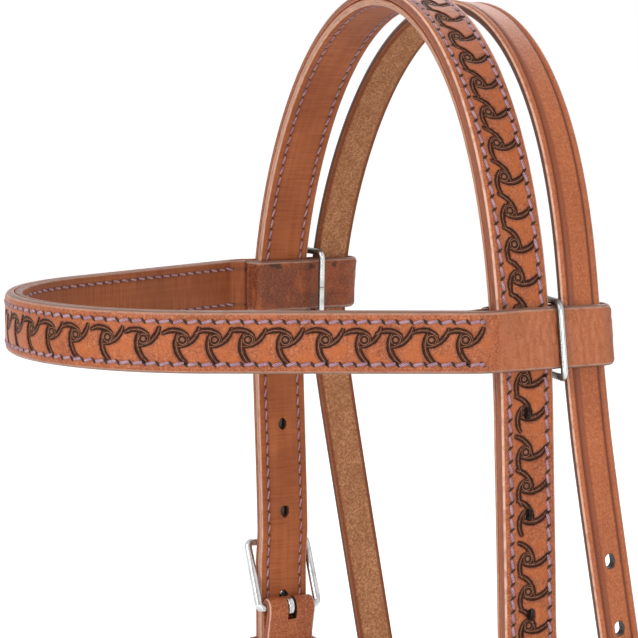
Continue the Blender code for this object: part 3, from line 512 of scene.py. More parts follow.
class Value:
    """A node's result. It works in sums like a number, in materials and in Geometry Nodes alike."""

    def __init__(self, tree, socket):
        self.tree, self.socket = tree, socket

    def math(self, operation, *others):
        node = add_node(self.tree, "ShaderNodeMath", dict(enumerate((self, *others))), operation=operation)
        return Value(self.tree, node.outputs[0])

    def __add__(self, other):
        return self.math("ADD", other)

    def __sub__(self, other):
        return self.math("SUBTRACT", other)

    def __mul__(self, other):
        return self.math("MULTIPLY", other)

    def __truediv__(self, other):
        return self.math("DIVIDE", other)

    def __abs__(self):
        return self.math("ABSOLUTE")


def put(tree, value, socket):
    """A socket takes a number, a colour or another node's result."""
    if isinstance(value, Value):
        value = value.socket
    if isinstance(value, bpy.types.NodeSocket):
        tree.links.new(value, socket)
    else:
        socket.default_value = (*value, 1) if socket.type == "RGBA" else value


def add_node(tree, kind, inputs=None, **settings):
    """A node with these settings and inputs."""
    node = tree.nodes.new(kind)
    for key, value in settings.items():
        setattr(node, key, value)
    for key, value in (inputs or {}).items():
        put(tree, value, node.inputs[key])
    return node


def span(first, second):
    """The length of an offset given by its two parts."""
    return (first * first + second * second).math("SQRT")


class Finish:
    """A material built from nodes, with the few steps that the finishes here share."""

    def __init__(self, name):
        self.material = bpy.data.materials.new(name)
        self.material.use_nodes = True
        self.tree = self.material.node_tree

    def set(self, **values):
        """Set the shader's own sockets, their names written with underscores."""
        for key, value in values.items():
            put(self.tree, value, self.tree.nodes["Principled BSDF"].inputs[key.replace("_", " ")])

    def made(self, output, kind, inputs=None, **settings):
        return Value(self.tree, add_node(self.tree, kind, inputs, **settings).outputs[output])

    def attribute(self, name, output="Fac"):
        return self.made(output, "ShaderNodeAttribute", attribute_name=name)

    def place(self):
        return self.made("Object", "ShaderNodeTexCoord")

    def rise(self, value, start, end, low=0.0, high=1.0):
        """A smooth change from low to high while the value goes from start to end."""
        inputs = {"Value": value, "From Min": start, "From Max": end, "To Min": low, "To Max": high}
        return self.made("Result", "ShaderNodeMapRange", inputs, interpolation_type="SMOOTHSTEP")

    def parts(self, vector):
        outputs = add_node(self.tree, "ShaderNodeSeparateXYZ", {0: vector}).outputs
        return [Value(self.tree, output) for output in outputs]

    def noise(self, vector, scale, detail=2.0, roughness=0.5):
        inputs = {"Vector": vector, "Scale": scale, "Detail": detail, "Roughness": roughness}
        return self.made("Fac", "ShaderNodeTexNoise", inputs)

    def streaks(self, along, over, detail=3, roughness=0.5, across="side"):
        """Noise at different scales along and across the strap."""
        inputs = {0: self.attribute("run") * along, 1: self.attribute(across) * over}
        return self.noise(self.made(0, "ShaderNodeCombineXYZ", inputs), 1, detail, roughness)

    def mix(self, share, first, second):
        return self.made(2, "ShaderNodeMix", {"Factor": share, 6: first, 7: second}, data_type="RGBA")

    def bump(self, height, distance, before=None):
        inputs = {"Strength": 1, "Distance": distance, "Height": height}
        if before is not None:
            inputs["Normal"] = before
        return self.made("Normal", "ShaderNodeBump", inputs)

    def shade_punched_rims(self, colour):
        """Punched rims are painted near black, as the shade inside the holes."""
        return self.mix(self.cut_share(0.9), colour, HOLE_SHADE_AND_SMUDGE_BLACK)

    def cut_share(self, share):
        """This much on punched rims, and nothing on whole leather."""
        return self.rise(self.attribute("whole"), 0.1, 0.9, share, 0)


HOLE_SLIM = 0.62
DRAWN_LINE = (0.03, 0.14, 1, 0)
FAR_ALONG = 100.5


def stitched_marks(finish, start, shear=HOLE_SHEAR):
    """How far a point is from the nearest needle hole, and from its row."""
    off_row = finish.attribute("seam")
    share = finish.attribute("run") * (1 / STITCH_PITCH) + -start / STITCH_PITCH
    along = (share + FAR_ALONG).math("FRACT") - 0.5
    over = off_row * finish.attribute("side").math("SIGN")
    return span(along * STITCH_PITCH + over * shear, over * HOLE_SLIM), abs(off_row)


def stamp_marks(finish):
    """Distance from the nearest stamped groove in its half-widths, and how much of a raised line shows."""
    wander = finish.noise(finish.place(), 700, 2) * 0.24 + -0.12
    even, odd = (one_stamp(finish, names, wander) for names in (STAMP_ATTRIBUTES[:3], STAMP_ATTRIBUTES[3:]))
    return even[0].math("MINIMUM", odd[0]), even[1].math("MAXIMUM", odd[1])


def one_stamp(finish, names, wander):
    """The marks of the even or of the odd stamps."""
    u, v = finish.attribute(names[0]) + wander, finish.attribute(names[1]) - wander
    reached = finish.attribute(names[2])
    ring = span(u, v)
    away = ring / SWIRL_DISC_MM
    button = finish.rise(ring, SWIRL_BUTTON_MM * 0.6, SWIRL_BUTTON_MM * 1.1, 0.75, 0)
    line = finish.rise(abs(ring - SWIRL_RING_MM), *DRAWN_LINE).math("MAXIMUM", button)
    for arm in SWIRL_ARMS:
        off_u, off_v = u - arm.centre[0], v - arm.centre[1]
        sine = off_v * arm.aim[0] - off_u * arm.aim[1]
        cosine = off_v * arm.aim[1] + off_u * arm.aim[0]
        along = sine.math("ARCTAN2", cosine) / arm.half_turn
        share = along.math("MINIMUM", 1.0).math("MAXIMUM", -1.0)
        wide = (share * arm.wide[2] + arm.wide[1]) * share + arm.wide[0]
        off = abs((span(off_u, off_v) - arm.radius) / wide)
        beyond = (abs(along) - 1.0).math("MAXIMUM", 0.0) * (arm.radius * arm.half_turn / arm.end_wide)
        arm_away = span(off, beyond)
        drawn = finish.rise(off, *DRAWN_LINE) * finish.rise(arm_away, 0.70, 0.90, 1, 0)
        line = line.math("MAXIMUM", drawn)
        away = away.math("MINIMUM", arm_away)
    return away + (reached * -SWIRL_AWAY_MM + SWIRL_AWAY_MM), line * reached


RUSSET = (0.385, 0.102, 0.032)
RUSSET_DEEP = (0.20, 0.043, 0.014)
RUSSET_WORN = (0.60, 0.215, 0.094)
RUSSET_FRESH = (0.455, 0.112, 0.026)
LOOP_RUSSET = (0.45, 0.150, 0.066)
# Dark brown for the real stain halo round the stamps, and also for painted shade along the stitch rows.
STAMP_STAIN_AND_ROW_SHADE = (0.15, 0.034, 0.014)
ANTIQUE = (0.014, 0.007, 0.005)
ANTIQUE_INSIDE = (0.085, 0.030, 0.017)
ANTIQUE_LINE = (0.36, 0.165, 0.098)
EDGE_RUSSET = (0.30, 0.092, 0.044)
EDGE_BROWN = (0.105, 0.038, 0.022)
# Dark brown for the browband's edges, with a grey cast painted in for the sheen they reflect.
EDGE_BROWN_WITH_GREY_SHEEN = (0.25, 0.130, 0.092)
# Pale colour painted on the rounded grain corner of cut edges as a highlight.
EDGE_PAINTED_HIGHLIGHT = (0.80, 0.50, 0.37)
# Dark tones painted on the turned-in tails as the shade inside the folded loops.
TAIL_SHADE_DEEP = (0.135, 0.031, 0.012)
TAIL_SHADE_ORANGE = (0.31, 0.068, 0.017)
# Near black painted inside punched holes and needle holes as shade; also used for the smudges on the browband's tails.
HOLE_SHADE_AND_SMUDGE_BLACK = (0.014, 0.006, 0.004)


GRAIN_DEPTH = 0.00010


def grain(finish):
    """Bump of smooth leather: shallow creases, pores and pebbles."""
    place = finish.place()
    pores = finish.made("Distance", "ShaderNodeTexVoronoi", {"Vector": place, "Scale": 1500})
    creased = finish.bump(finish.noise(place, 420, 5, 0.65) + pores * 0.45, GRAIN_DEPTH)
    return finish.bump(finish.noise(place, 1500, 3, 0.6), GRAIN_DEPTH * 1.3, creased)


def russet(finish, light, deep, worn):
    """The uneven dye of russet leather: cloudy patches, mottling, cross streaks and fine speckles."""
    place = finish.place()
    clouds = finish.rise(finish.noise(place, 55, 3), 0.35, 0.68)
    mottle = finish.rise(finish.noise(place, 700, 4, 0.7), 0.40, 0.68)
    colour = finish.mix(mottle * 0.35, finish.mix(clouds * 0.55, light, deep), worn)
    colour = finish.mix(finish.rise(finish.streaks(900, 90), 0.45, 0.75, 0, 0.40), colour, deep)
    fine = finish.noise(place, 1700, 3, 0.65)
    colour = finish.mix(finish.rise(fine, 0.50, 0.63, 0, 0.60), colour, deep)
    return finish.mix(finish.rise(fine, 0.36, 0.50, 0.50, 0), colour, worn)


def edged(finish, colour, rim, start=0.93, highlight_share=0.75):
    """Burnished cut edges: rubbed with wax, streaked along the strap, with a painted highlight line on the grain
    corner.
    """
    level = finish.attribute("level")
    fibres = finish.streaks(160, 9, across="level")
    rubbed = finish.mix(finish.rise(fibres, 0.42, 0.70, 0, 0.8), rim, EDGE_BROWN)
    colour = finish.mix(finish.rise(abs(level), start - 0.45, start, 1, 0), colour, rubbed)
    # Painted highlight: a pale strip across the middle of the rounded grain corner.
    painted_highlight = finish.rise(level, 0.44, 0.60) * finish.rise(level, 0.76, 0.90, highlight_share, 0)
    painted_highlight = painted_highlight * finish.rise(finish.noise(finish.place(), 330, 3), 0.30, 0.55, 0.5, 1)
    return finish.mix(painted_highlight, colour, EDGE_PAINTED_HIGHLIGHT)


def loop_and_tail(finish, colour):
    """The browband's turned-in tails: painted dark as the shade inside the folded loops, patchy, with black smudges at
    their top edge.
    """
    place = finish.place()
    patches = finish.rise(finish.noise(place, 120, 3), 0.42, 0.62)
    # Painted shade: the tails lie inside the folded loops, out of the light.
    shaded_tail = finish.mix(patches * 0.8, TAIL_SHADE_DEEP, TAIL_SHADE_ORANGE)
    shaded_tail = finish.mix(finish.rise(finish.noise(place, 1600, 4, 0.7), 0.45, 0.66, 0, 0.32), shaded_tail, RUSSET_WORN)
    near_top = finish.rise(finish.attribute("side"), 0.0050, 0.0068)
    smudge = finish.rise(finish.noise(place, 210, 3), 0.56, 0.64) * near_top
    shaded_tail = finish.mix(smudge * 0.85, shaded_tail, HOLE_SHADE_AND_SMUDGE_BLACK)
    share = finish.attribute("loop_and_tail")
    mottle = finish.rise(finish.noise(place, 330, 4, 0.7), 0.34, 0.66, 0.35, 0.9)
    loop = finish.mix(finish.rise(share, 0.05, 0.5) * mottle, colour, LOOP_RUSSET)
    return finish.mix(finish.rise(share, 0.5, 1.0, 0, 0.92), loop, shaded_tail)


def tooled_leather(name, start, has_tails=False):
    """Russet leather with antique stain left in the stamped lines, painted shade along the stitch rows and at the
    needle holes, and a painted highlight on its edges' grain corners.
    """
    finish = Finish(name)
    colour = russet(finish, RUSSET, RUSSET_DEEP, RUSSET_WORN)
    if has_tails:
        colour = loop_and_tail(finish, colour)
    place = finish.place()
    patchy = finish.noise(place, 900, 3)
    away, line = stamp_marks(finish)
    beside = finish.rise(away, 1.3, 2.2) * finish.rise(away, 6.0, 9.0, 1, 0) * 0.7
    colour = finish.mix(finish.rise(finish.noise(place, 240, 3), 0.38, 0.62) * beside, colour, RUSSET_FRESH)
    ragged = away + (patchy * 0.5 + -0.25)
    colour = finish.mix(finish.rise(ragged, 0.9, 2.1, 0.62, 0), colour, STAMP_STAIN_AND_ROW_SHADE)
    stain = finish.rise(ragged, 0.88, 1.20, 1, 0) * finish.rise(finish.noise(place, 420, 2), 0.22, 0.42, 0.82, 0.98)
    inside = finish.rise(ragged, 0.50, 0.80, 1, 0) * finish.rise(patchy, 0.35, 0.6, 0.4, 1)
    colour = finish.mix(stain, colour, finish.mix(inside, ANTIQUE, ANTIQUE_INSIDE))
    drawn = line * finish.rise(away, 0.85, 1.15, 1, 0) * finish.rise(finish.noise(place, 1300, 2), 0.32, 0.52, 0.25, 1)
    colour = finish.mix(drawn, colour, ANTIQUE_LINE)
    off_hole, off_row = stitched_marks(finish, start)
    # Painted shade along each row of stitches, where the thread lies in its channel.
    colour = finish.mix(finish.rise(off_row, 0.0003, 0.0013, 0.35, 0), colour, STAMP_STAIN_AND_ROW_SHADE)
    # Needle holes painted near black, as the shade inside them; the mesh has only a dimple there.
    colour = finish.mix(finish.rise(off_hole, 0.00042, 0.00072, 0.97, 0), colour, HOLE_SHADE_AND_SMUDGE_BLACK)
    colour = edged(finish, colour, EDGE_BROWN_WITH_GREY_SHEEN if has_tails else EDGE_RUSSET, highlight_share=0.28 if has_tails else 0.80)
    skin = grain(finish)
    rough = finish.rise(finish.noise(place, 260, 3), 0.3, 0.7, 0.36, 0.50)
    finish.set(Base_Color=finish.shade_punched_rims(colour), Normal=skin, Specular_IOR_Level=0.06, Coat_Roughness=0.40,
               Coat_Normal=skin, Coat_Weight=finish.rise(away, 0.9, 1.3, 0, 0.45),
               Roughness=rough.math("MAXIMUM", finish.cut_share(1)))
    return finish.material


def finish_piece(piece, material, slot, body, *nodes):
    """Give a piece its only material and its body, and let it stand for its CAD nodes. The slot is not used."""
    piece.data.materials.clear()
    piece.data.materials.append(material)
    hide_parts(*nodes)
    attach(piece, body)


crown = crown_route(TOOLED_STEP_ALONG)
CROWN_LENGTH = crown.run[-1]
FAR_HOLE_RISE = 0.0026
FAR_HOLE_RISE_SHARES = (1, 1, 0.5, 0, 0, 0)
hole_heights = [FIRST_HOLE_Z - k * HOLE_PITCH for k in range(HOLE_COUNT)]
near_holes = [crown.run_nearest((CROWN_HALF_SPAN, crown_y(z), z)) for z in hole_heights]
far_holes = [CROWN_LENGTH - run - FAR_HOLE_RISE * share for run, share in zip(near_holes, FAR_HOLE_RISE_SHARES)]
CROWN_STITCH_START = 0.0042
face_offset = (STRAP_THICK - FACE_PLY) / 2
seen_rings = near_holes[0] + np.array(CROWN_RINGS_PAST_HOLE_MM) / 1000
lower_rings = np.arange(seen_rings[0] - SWIRL_PITCH, 0, -SWIRL_PITCH)
upper_rings = np.arange(seen_rings[-1] + SWIRL_PITCH, CROWN_LENGTH, SWIRL_PITCH)
crown_rings = np.concatenate((hand_set(lower_rings[::-1], 5), hand_set(seen_rings, 6, 0), hand_set(upper_rings, 7)))


def crown_field(run, side):
    """The swirls run the whole length of the crown and stop short of its tips."""
    past_tip = TIP_LENGTH + 0.002
    return swirl_field(run, side, crown_rings, (past_tip, CROWN_LENGTH - past_tip))


def crown_seam(run, side):
    return row_offset(run, side, CROWN_LENGTH, tip=True)


def crown_relief(run, side, field):
    sewn = stitch_relief(run, side, crown_seam(run, side), CROWN_STITCH_START, CROWN_LENGTH - CROWN_STITCH_START)
    return swirl_relief(field) + sewn + hole_relief(run, side, near_holes + far_holes)


crown_face = strap_piece("crown_tooled_face", crown, STRAP_WIDTH, (FACE_CORNER, SEAM_CORNER), TOOLED_STEP_ACROSS,
                         face_offset, crown_relief, crown_field, ("start", "end"), crown_seam)
TONGUE_HOLE = 3  # the hole that holds the cheekpiece's tongue, counted from 0 at the top
SHUT_HOLE_SIZE = (0.0026, 0.0041)
FAR_SHUT_HOLE_SIZE = (0.0018, 0.0034)


def billet_cutters(route, runs, shut_size=SHUT_HOLE_SIZE):
    """Cutters for six holes on each leg. The leather closes up a little in those that hold no tongue."""
    cutters = []
    for index, run in enumerate(runs):
        size = (HOLE_WIDTH, HOLE_LENGTH) if index % HOLE_COUNT == TONGUE_HOLE else shut_size
        cutters.append(hole_cutter(route, run, *size, STRAP_THICK))
    return cutters


punch(crown_face, billet_cutters(crown, near_holes) + billet_cutters(crown, far_holes, FAR_SHUT_HOLE_SIZE))
finish_piece(crown_face, tooled_leather("tooled_russet_crown", CROWN_STITCH_START), "tooled_leather", "headstall",
             "crown_face")


LINING_LIGHT = (0.40, 0.112, 0.036)
LINING_DEEP = (0.21, 0.050, 0.016)
LINING_WORN = (0.50, 0.165, 0.060)
LINING_SEAM = (0.10, 0.030, 0.014)
# Dusty tan of the lining's cut edge, lightened to stand in for the highlight along that edge.
LINING_EDGE_TAN_AND_HIGHLIGHT = (0.60, 0.32, 0.215)


def lining_leather(name, start, rim, shade=1.0):
    """Plain russet lining: streaked across, browner along its stitching, with painted shade at its needle holes. A
    shade below 1 paints all its tones darker, as shade.
    """
    finish = Finish(name)
    place = finish.place()
    streaks = finish.rise(finish.streaks(1100, 60, 4, 0.65), 0.35, 0.70)
    bands = finish.rise(finish.streaks(16, 420), 0.35, 0.70)
    light, deep, worn = (tuple(part * shade for part in tone) for tone in (LINING_LIGHT, LINING_DEEP, LINING_WORN))
    colour = finish.mix(bands * 0.40, finish.mix(streaks * 0.60, light, deep), worn)
    colour = finish.mix(finish.rise(finish.noise(place, 38, 2), 0.35, 0.65, 0, 0.40), colour, deep)
    off_hole, off_row = stitched_marks(finish, start, -HOLE_SHEAR)
    colour = finish.mix(finish.rise(off_row, 0.0003, 0.0012, 0.45, 0), colour, LINING_SEAM)
    # Needle holes painted dark, as the shade inside them.
    colour = finish.mix(finish.rise(off_hole, 0.00022, 0.00048, 0.75, 0), colour, HOLE_SHADE_AND_SMUDGE_BLACK)
    colour = edged(finish, colour, rim, highlight_share=0.55 if rim == LINING_EDGE_TAN_AND_HIGHLIGHT else 0.2)
    rough = (streaks * 0.16 + 0.42).math("MAXIMUM", finish.cut_share(1))
    skin = finish.bump(streaks * 0.6 + finish.noise(place, 900, 4), 0.00010)
    finish.set(Base_Color=finish.shade_punched_rims(colour), Roughness=rough, Normal=skin, Specular_IOR_Level=0.20)
    return finish.material


def lining_relief(length, start, holes=(), tip=False):
    """The lining's sunk stitches and punched holes, as a function of the place on it."""
    def relief(run, side, field):
        sewn = stitch_relief(run, side, row_offset(run, side, length, tip), start, length - start)
        return sewn + hole_relief(run, side, holes)
    return relief


crown_inside = crown_route(PLAIN_STEP_ALONG).turned()
lining_holes = [CROWN_LENGTH - run for run in near_holes + far_holes]
crown_lining = strap_piece("crown_lining_leather", crown_inside, STRAP_WIDTH, (LINING_CORNER, SEAM_CORNER),
                           PLAIN_STEP_ACROSS, (STRAP_THICK - LINING_PLY) / 2,
                           lining_relief(CROWN_LENGTH, CROWN_STITCH_START, lining_holes, True),
                           tips=("start", "end"), seam=crown_seam, ply=LINING_PLY)
punch(crown_lining, billet_cutters(crown_inside, lining_holes))
finish_piece(crown_lining, lining_leather("lining_russet_crown", CROWN_STITCH_START, LINING_EDGE_TAN_AND_HIGHLIGHT),
             "lining_leather", "headstall", "crown_lining")


# Browband: a tooled face whose ends are skived thin, folded back round the crown and the throatlatch, and
# sewn down where they meet the lining. Only the forehead and the sides are tooled and stitched; the loops are
# plain.
FOREHEAD_AHEAD_OF_CROWN = 0.1315
FOREHEAD_TURN = math.radians(64.5)
TEMPLE_RADIUS = 0.0200
LOOP_BEHIND_THROAT = 0.0018
LOOP_RUN = 0.0436
POCKET_SLACK = 0.0006
BUTT_AHEAD_OF_CROWN = 0.0038
BUTT_FLAT = 0.0012
BUTT_INSET = 0.0036
NECK_RUN = 0.0030
BROWBAND_PLAY = 0.0020
THROAT_WIDTH = 0.0140
THROAT_PLY = 0.0032
THROAT_RISE = CROWN_RISE - 0.0026
THROAT_LEAN_UP = math.tan(math.radians(4.34))
THROAT_LEAN_DOWN = math.tan(math.radians(9.88))
THROAT_BEND_Z = BAND_Z - 0.0074
WIRE_DIAMETER = 0.0023
WIRE_GAP = WIRE_DIAMETER + 2 * 0.0009
BAND_EASE = 0.0010
BAND_END_STITCH = 0.0034
BAND_RINGS_BEFORE_BUTT_MM = (8.4, 18.6, 29.4, 38.9, 50.6, 62.6, 73.9, 83.9, 93.6, 105.6, 117.4, 129.4, 139.9, 150.9)
LOOP_PLY = 0.0022
LOOP_ROOM = 0.00016
LOOP_CLOSE_UP = 0.00055
WIRE_DIP = 0.0009
WIRE_DIP_RUN = 0.0019
WIRE_SKEW = math.tan(math.radians(9))
LOOP_WRINKLE = 0.000085


def throat_y(z):
    """How far back the throatlatch lies at a height."""
    def lean(height):
        return THROAT_LEAN_DOWN * soft_run(THROAT_BEND_Z - height) + THROAT_LEAN_UP * soft_run(height - THROAT_BEND_Z)
    behind = (STRAP_WIDTH + THROAT_WIDTH) / 2 + WIRE_GAP
    return crown_y(BAND_Z) + behind + lean(z) - lean(BAND_Z)


def arch_x(half_span, rise, z):
    """How far out an arch's middle is at a height above or below its spring line."""
    height = max(z - SPRING_Z, 0) / rise
    return half_span * math.sqrt(1 - height * height)


def arc(centre, radius, start, end, count):
    """Points on an arc, both ends included, with its angles in radians."""
    turn = np.linspace(start, end, count)
    return np.stack((centre[0] + radius * np.cos(turn), centre[1] + radius * np.sin(turn)), axis=1)


band_low = BAND_Z - STRAP_WIDTH / 2 - BROWBAND_PLAY
band_high = BAND_Z + STRAP_WIDTH / 2 + BROWBAND_PLAY
pocket_out = arch_x(CROWN_HALF_SPAN, CROWN_RISE, band_low) + STRAP_THICK / 2 + POCKET_SLACK
pocket_in = arch_x(CROWN_HALF_SPAN, CROWN_RISE, band_high) - STRAP_THICK / 2 - POCKET_SLACK
band_outer = pocket_out + FACE_PLY
throat_at_band = pocket_out - POCKET_SLACK - THROAT_PLY / 2
throat_half_span = throat_at_band / arch_x(1, THROAT_RISE, band_low)
throat_in = throat_half_span * arch_x(1, THROAT_RISE, band_high) - THROAT_PLY / 2 - POCKET_SLACK
crown_front = crown_y(BAND_Z) - STRAP_WIDTH / 2
wire_y = crown_y(BAND_Z) + STRAP_WIDTH / 2 + WIRE_GAP / 2
throat_back = max(throat_y(z) for z in (band_low, BAND_Z, band_high)) + THROAT_WIDTH / 2
fold_out = band_outer - FACE_PLY / 2
fold_in = throat_in - FOLD_PLY / 2
fold_radius = (fold_out - fold_in) / 2
fold_y = throat_back + LOOP_BEHIND_THROAT + FACE_PLY / 2 - fold_radius
butt_y = crown_front - BUTT_AHEAD_OF_CROWN
butt_in = band_outer - STRAP_THICK + FOLD_PLY / 2 - BUTT_INSET


def band_outline(inset):
    """The near half of the band seen from above: the forehead's arc and the bend at the temple."""
    sine, cosine = math.sin(FOREHEAD_TURN), math.cos(FOREHEAD_TURN)
    start_y = fold_y + fold_radius - LOOP_RUN
    front_y = crown_y(BAND_Z) - FOREHEAD_AHEAD_OF_CROWN
    reach_x = band_outer - TEMPLE_RADIUS * (1 - sine)
    reach_y = start_y - TEMPLE_RADIUS * cosine - front_y
    radius = (reach_x * sine - reach_y * cosine) / (sine * sine - (1 - cosine) * cosine)
    quarter = math.pi / 2
    forehead = arc((0, front_y + radius), radius - inset, -quarter, FOREHEAD_TURN - quarter, 200)
    temple = arc((band_outer - TEMPLE_RADIUS, start_y), TEMPLE_RADIUS - inset, FOREHEAD_TURN - quarter, 0, 30)
    return forehead, temple


def both_halves(near):
    """The far half, then the near half, of a line that is alike on both sides."""
    return np.concatenate((near[:0:-1] * (-1, *[1] * (near.shape[1] - 1)), near))


def band_route(step):
    """The face's line: in from the far tail, round the far fold and the forehead, and to the near tail."""
    forehead, temple = band_outline(FACE_PLY / 2)
    fold = arc(((fold_out + fold_in) / 2, fold_y), fold_radius, 0, math.pi, 60)
    back_in = pocket_in - FOLD_PLY / 2
    tail = [
        (fold_in, wire_y + NECK_RUN / 2),
        (back_in, wire_y - NECK_RUN / 2),
        (back_in, crown_front - POCKET_SLACK),
        (butt_in, butt_y + BUTT_FLAT),
        (butt_in, butt_y),
    ]
    thick = np.concatenate((forehead, temple))
    near = np.concatenate((thick, fold, tail))
    ply = np.concatenate((np.full(len(thick) + 1, FACE_PLY), np.full(len(fold) + len(tail) - 1, FOLD_PLY)))
    ply[len(thick) : len(thick) + 12] = np.linspace(LOOP_PLY, FOLD_PLY, 12)
    rows = both_halves(np.column_stack((near, ply)))
    points = np.column_stack((rows[:, :2], np.full(len(rows), BAND_Z)))
    return Route(points, (0, 0, 1), step, BAND_EASE, rows[:, 2])


band = band_route(TOOLED_STEP_ALONG)
BAND_LENGTH = band.run[-1]
band_near_butt = band.run_nearest((band_outer - FACE_PLY / 2, butt_y, BAND_Z))
seen_rings = band_near_butt - np.array(BAND_RINGS_BEFORE_BUTT_MM) / 1000
band_far_butt = BAND_LENGTH - band_near_butt
more_rings = np.arange(seen_rings[-1] - SWIRL_PITCH, band_far_butt + SWIRL_PITCH / 2, -SWIRL_PITCH)
band_rings = np.concatenate((hand_set(more_rings[::-1], 9), hand_set(seen_rings[::-1], 4, 0)))
band_stitch_end = band_near_butt - BAND_END_STITCH
band_stitch_count = int((2 * band_stitch_end - BAND_LENGTH) / STITCH_PITCH)
band_stitch_start = band_stitch_end - band_stitch_count * STITCH_PITCH


def band_seam(run, side):
    off_row = row_offset(run, side, BAND_LENGTH)
    sewn = (run > band_stitch_start - STITCH_PITCH / 2) & (run < band_stitch_end + STITCH_PITCH / 2)
    return np.where(sewn, off_row, 1.0)


def band_field(run, side):
    """The swirls run from butt to butt and leave the loops plain."""
    return swirl_field(run, side, band_rings, (band_far_butt, band_near_butt))


def loop_wrinkles(run, side):
    """Shallow creases up and down the folded loops."""
    beyond = smooth_step(np.abs(run - BAND_LENGTH / 2), band_near_butt - BAND_LENGTH / 2 + 0.004,
                         band_near_butt - BAND_LENGTH / 2 + 0.010)
    bend = 0.0007 * np.sin(side * 310 + 1.3) + 0.0004 * np.sin(side * 720)
    waves = np.sin((run + bend) * 2100) + 0.7 * np.sin((run - bend) * 3350 + 1) + 0.5 * np.sin(run * 900)
    return LOOP_WRINKLE * beyond * waves


def band_relief(run, side, field):
    sewn = stitch_relief(run, side, band_seam(run, side), band_stitch_start, band_stitch_end)
    return swirl_relief(field) + sewn + loop_wrinkles(run, side)


def strap_out(z):
    """How far out the crown's middle is at each height beside the browband, as an array."""
    height = np.maximum(np.asarray(z) - SPRING_Z, 0) / CROWN_RISE
    return CROWN_HALF_SPAN * np.sqrt(1 - height * height)


def loop_wire_y(out):
    """How far back the wire lies at a distance from the middle: it hangs a little askew in its gap."""
    return wire_y - WIRE_SKEW * (out - CROWN_HALF_SPAN)


def loop_give(route, side):
    """How the loops give: they lie against both straps, dip under the wire and lean with the throatlatch."""
    hand = np.sign(route.centre[:, 0])[:, None]
    out, back = np.abs(route.centre[:, :1]), route.centre[:, 1:2]
    z = BAND_Z + side
    folded = smooth_step(back, butt_y, crown_y(BAND_Z))
    outer = np.clip((out - fold_in) / (fold_out - fold_in), 0, 1)
    dip = WIRE_DIP * bell(back - loop_wire_y(out), WIRE_DIP_RUN)
    outward = strap_out(z) - strap_out(band_low) + LOOP_ROOM - (FACE_PLY - route.ply[:, None]) / 2 - dip
    inward = strap_out(z) - strap_out(band_high) - LOOP_ROOM
    lean = throat_y(z) - (throat_back - THROAT_WIDTH / 2) - LOOP_CLOSE_UP
    past_wire = smooth_step(back, wire_y, throat_y(BAND_Z))
    shift_x = hand * folded * (outer * outward + (1 - outer) * inward)
    return np.stack((shift_x, past_wire * lean, np.zeros_like(shift_x)), axis=-1)


band_face = strap_piece("browband_tooled_face", band, STRAP_WIDTH, (FACE_CORNER, SEAM_CORNER),
                        TOOLED_STEP_ACROSS, 0, band_relief, band_field, seam=band_seam, give=loop_give)
from_middle = np.abs(band.run - BAND_LENGTH / 2)
loop_start = band_near_butt - BAND_LENGTH / 2
fold_start = band.run_nearest((fold_out, fold_y, BAND_Z)) - BAND_LENGTH / 2
loop_and_tail_share = (smooth_step(from_middle, loop_start, loop_start + 0.003)
                 + smooth_step(from_middle, fold_start, fold_start + 2 * fold_radius)) / 2
layer = band_face.data.attributes.new("loop_and_tail", "FLOAT", "POINT")
around = len(band_face.data.vertices) // len(band.run)
layer.data.foreach_set("value", np.repeat(loop_and_tail_share, around).astype(np.float32))
finish_piece(band_face, tooled_leather("tooled_russet_browband", band_stitch_start, True), "tooled_leather",
             "browband", "browband_face")


def band_lining_route(step):
    """The lining's line, from the far tail's end to the near tail's end, grain side to the head."""
    forehead, temple = band_outline(FACE_PLY + PLY_GAP + LINING_PLY / 2)
    end_y = butt_y - SEAT_GAP
    near = np.concatenate((forehead, temple[:1], [(butt_in, end_y - BUTT_FLAT), (butt_in, end_y)]))
    rows = both_halves(near)
    points = np.column_stack((rows, np.full(len(rows), BAND_Z)))
    return Route(points, (0, 0, 1), step, BAND_EASE, LINING_PLY).turned()


band_inside = band_lining_route(PLAIN_STEP_ALONG)
BAND_LINING_LENGTH = band_inside.run[-1]
BAND_LINING_STITCH_START = 0.0040


def band_lining_seam(run, side):
    return row_offset(run, side, BAND_LINING_LENGTH)


band_lining = strap_piece("browband_lining_leather", band_inside, STRAP_WIDTH, (LINING_CORNER, SEAM_CORNER),
                          PLAIN_STEP_ACROSS, 0, lining_relief(BAND_LINING_LENGTH, BAND_LINING_STITCH_START),
                          seam=band_lining_seam)
# The browband's lining takes 0.80: painted darker, as the shade inside the band.
finish_piece(band_lining, lining_leather("lining_russet_browband", BAND_LINING_STITCH_START, EDGE_BROWN_WITH_GREY_SHEEN, 0.80),
             "lining_leather", "browband", "browband_lining")


# Wire loops: one bent steel wire round each end of the browband, between the crown and the throatlatch. It
# nips the fold into two pockets. Its ends meet on the side towards the head.
WIRE_SIDE_ROOM = 0.0004
WIRE_END_ROOM = 0.0009
WIRE_CORNER = 0.0028
WIRE_TILT = math.radians(2)
WIRE_JOINT_GAP = 0.00025
WIRE_JOINT_BELOW_MIDDLE = 0.0008
WIRE_SIDES = 18


CORNER_POINTS = 10
OUTLINE_STEP = 0.0012


def rounded_outline(low_p, high_p, low_q, high_q, corner):
    """Points round a rectangle with round corners, spaced evenly enough to sweep a bar along."""
    points = []
    centres = ((high_p - corner, high_q - corner), (low_p + corner, high_q - corner),
               (low_p + corner, low_q + corner), (high_p - corner, low_q + corner))
    for quarter, centre in enumerate(centres):
        points.extend(arc(centre, corner, quarter * math.pi / 2, (quarter + 1) * math.pi / 2, CORNER_POINTS))
    points.append(points[0])
    rows = []
    for start, end in zip(points, points[1:]):
        count = max(1, int(np.linalg.norm(end - start) / OUTLINE_STEP))
        rows += [start + (end - start) * k / count for k in range(count)]
    return np.array(rows)


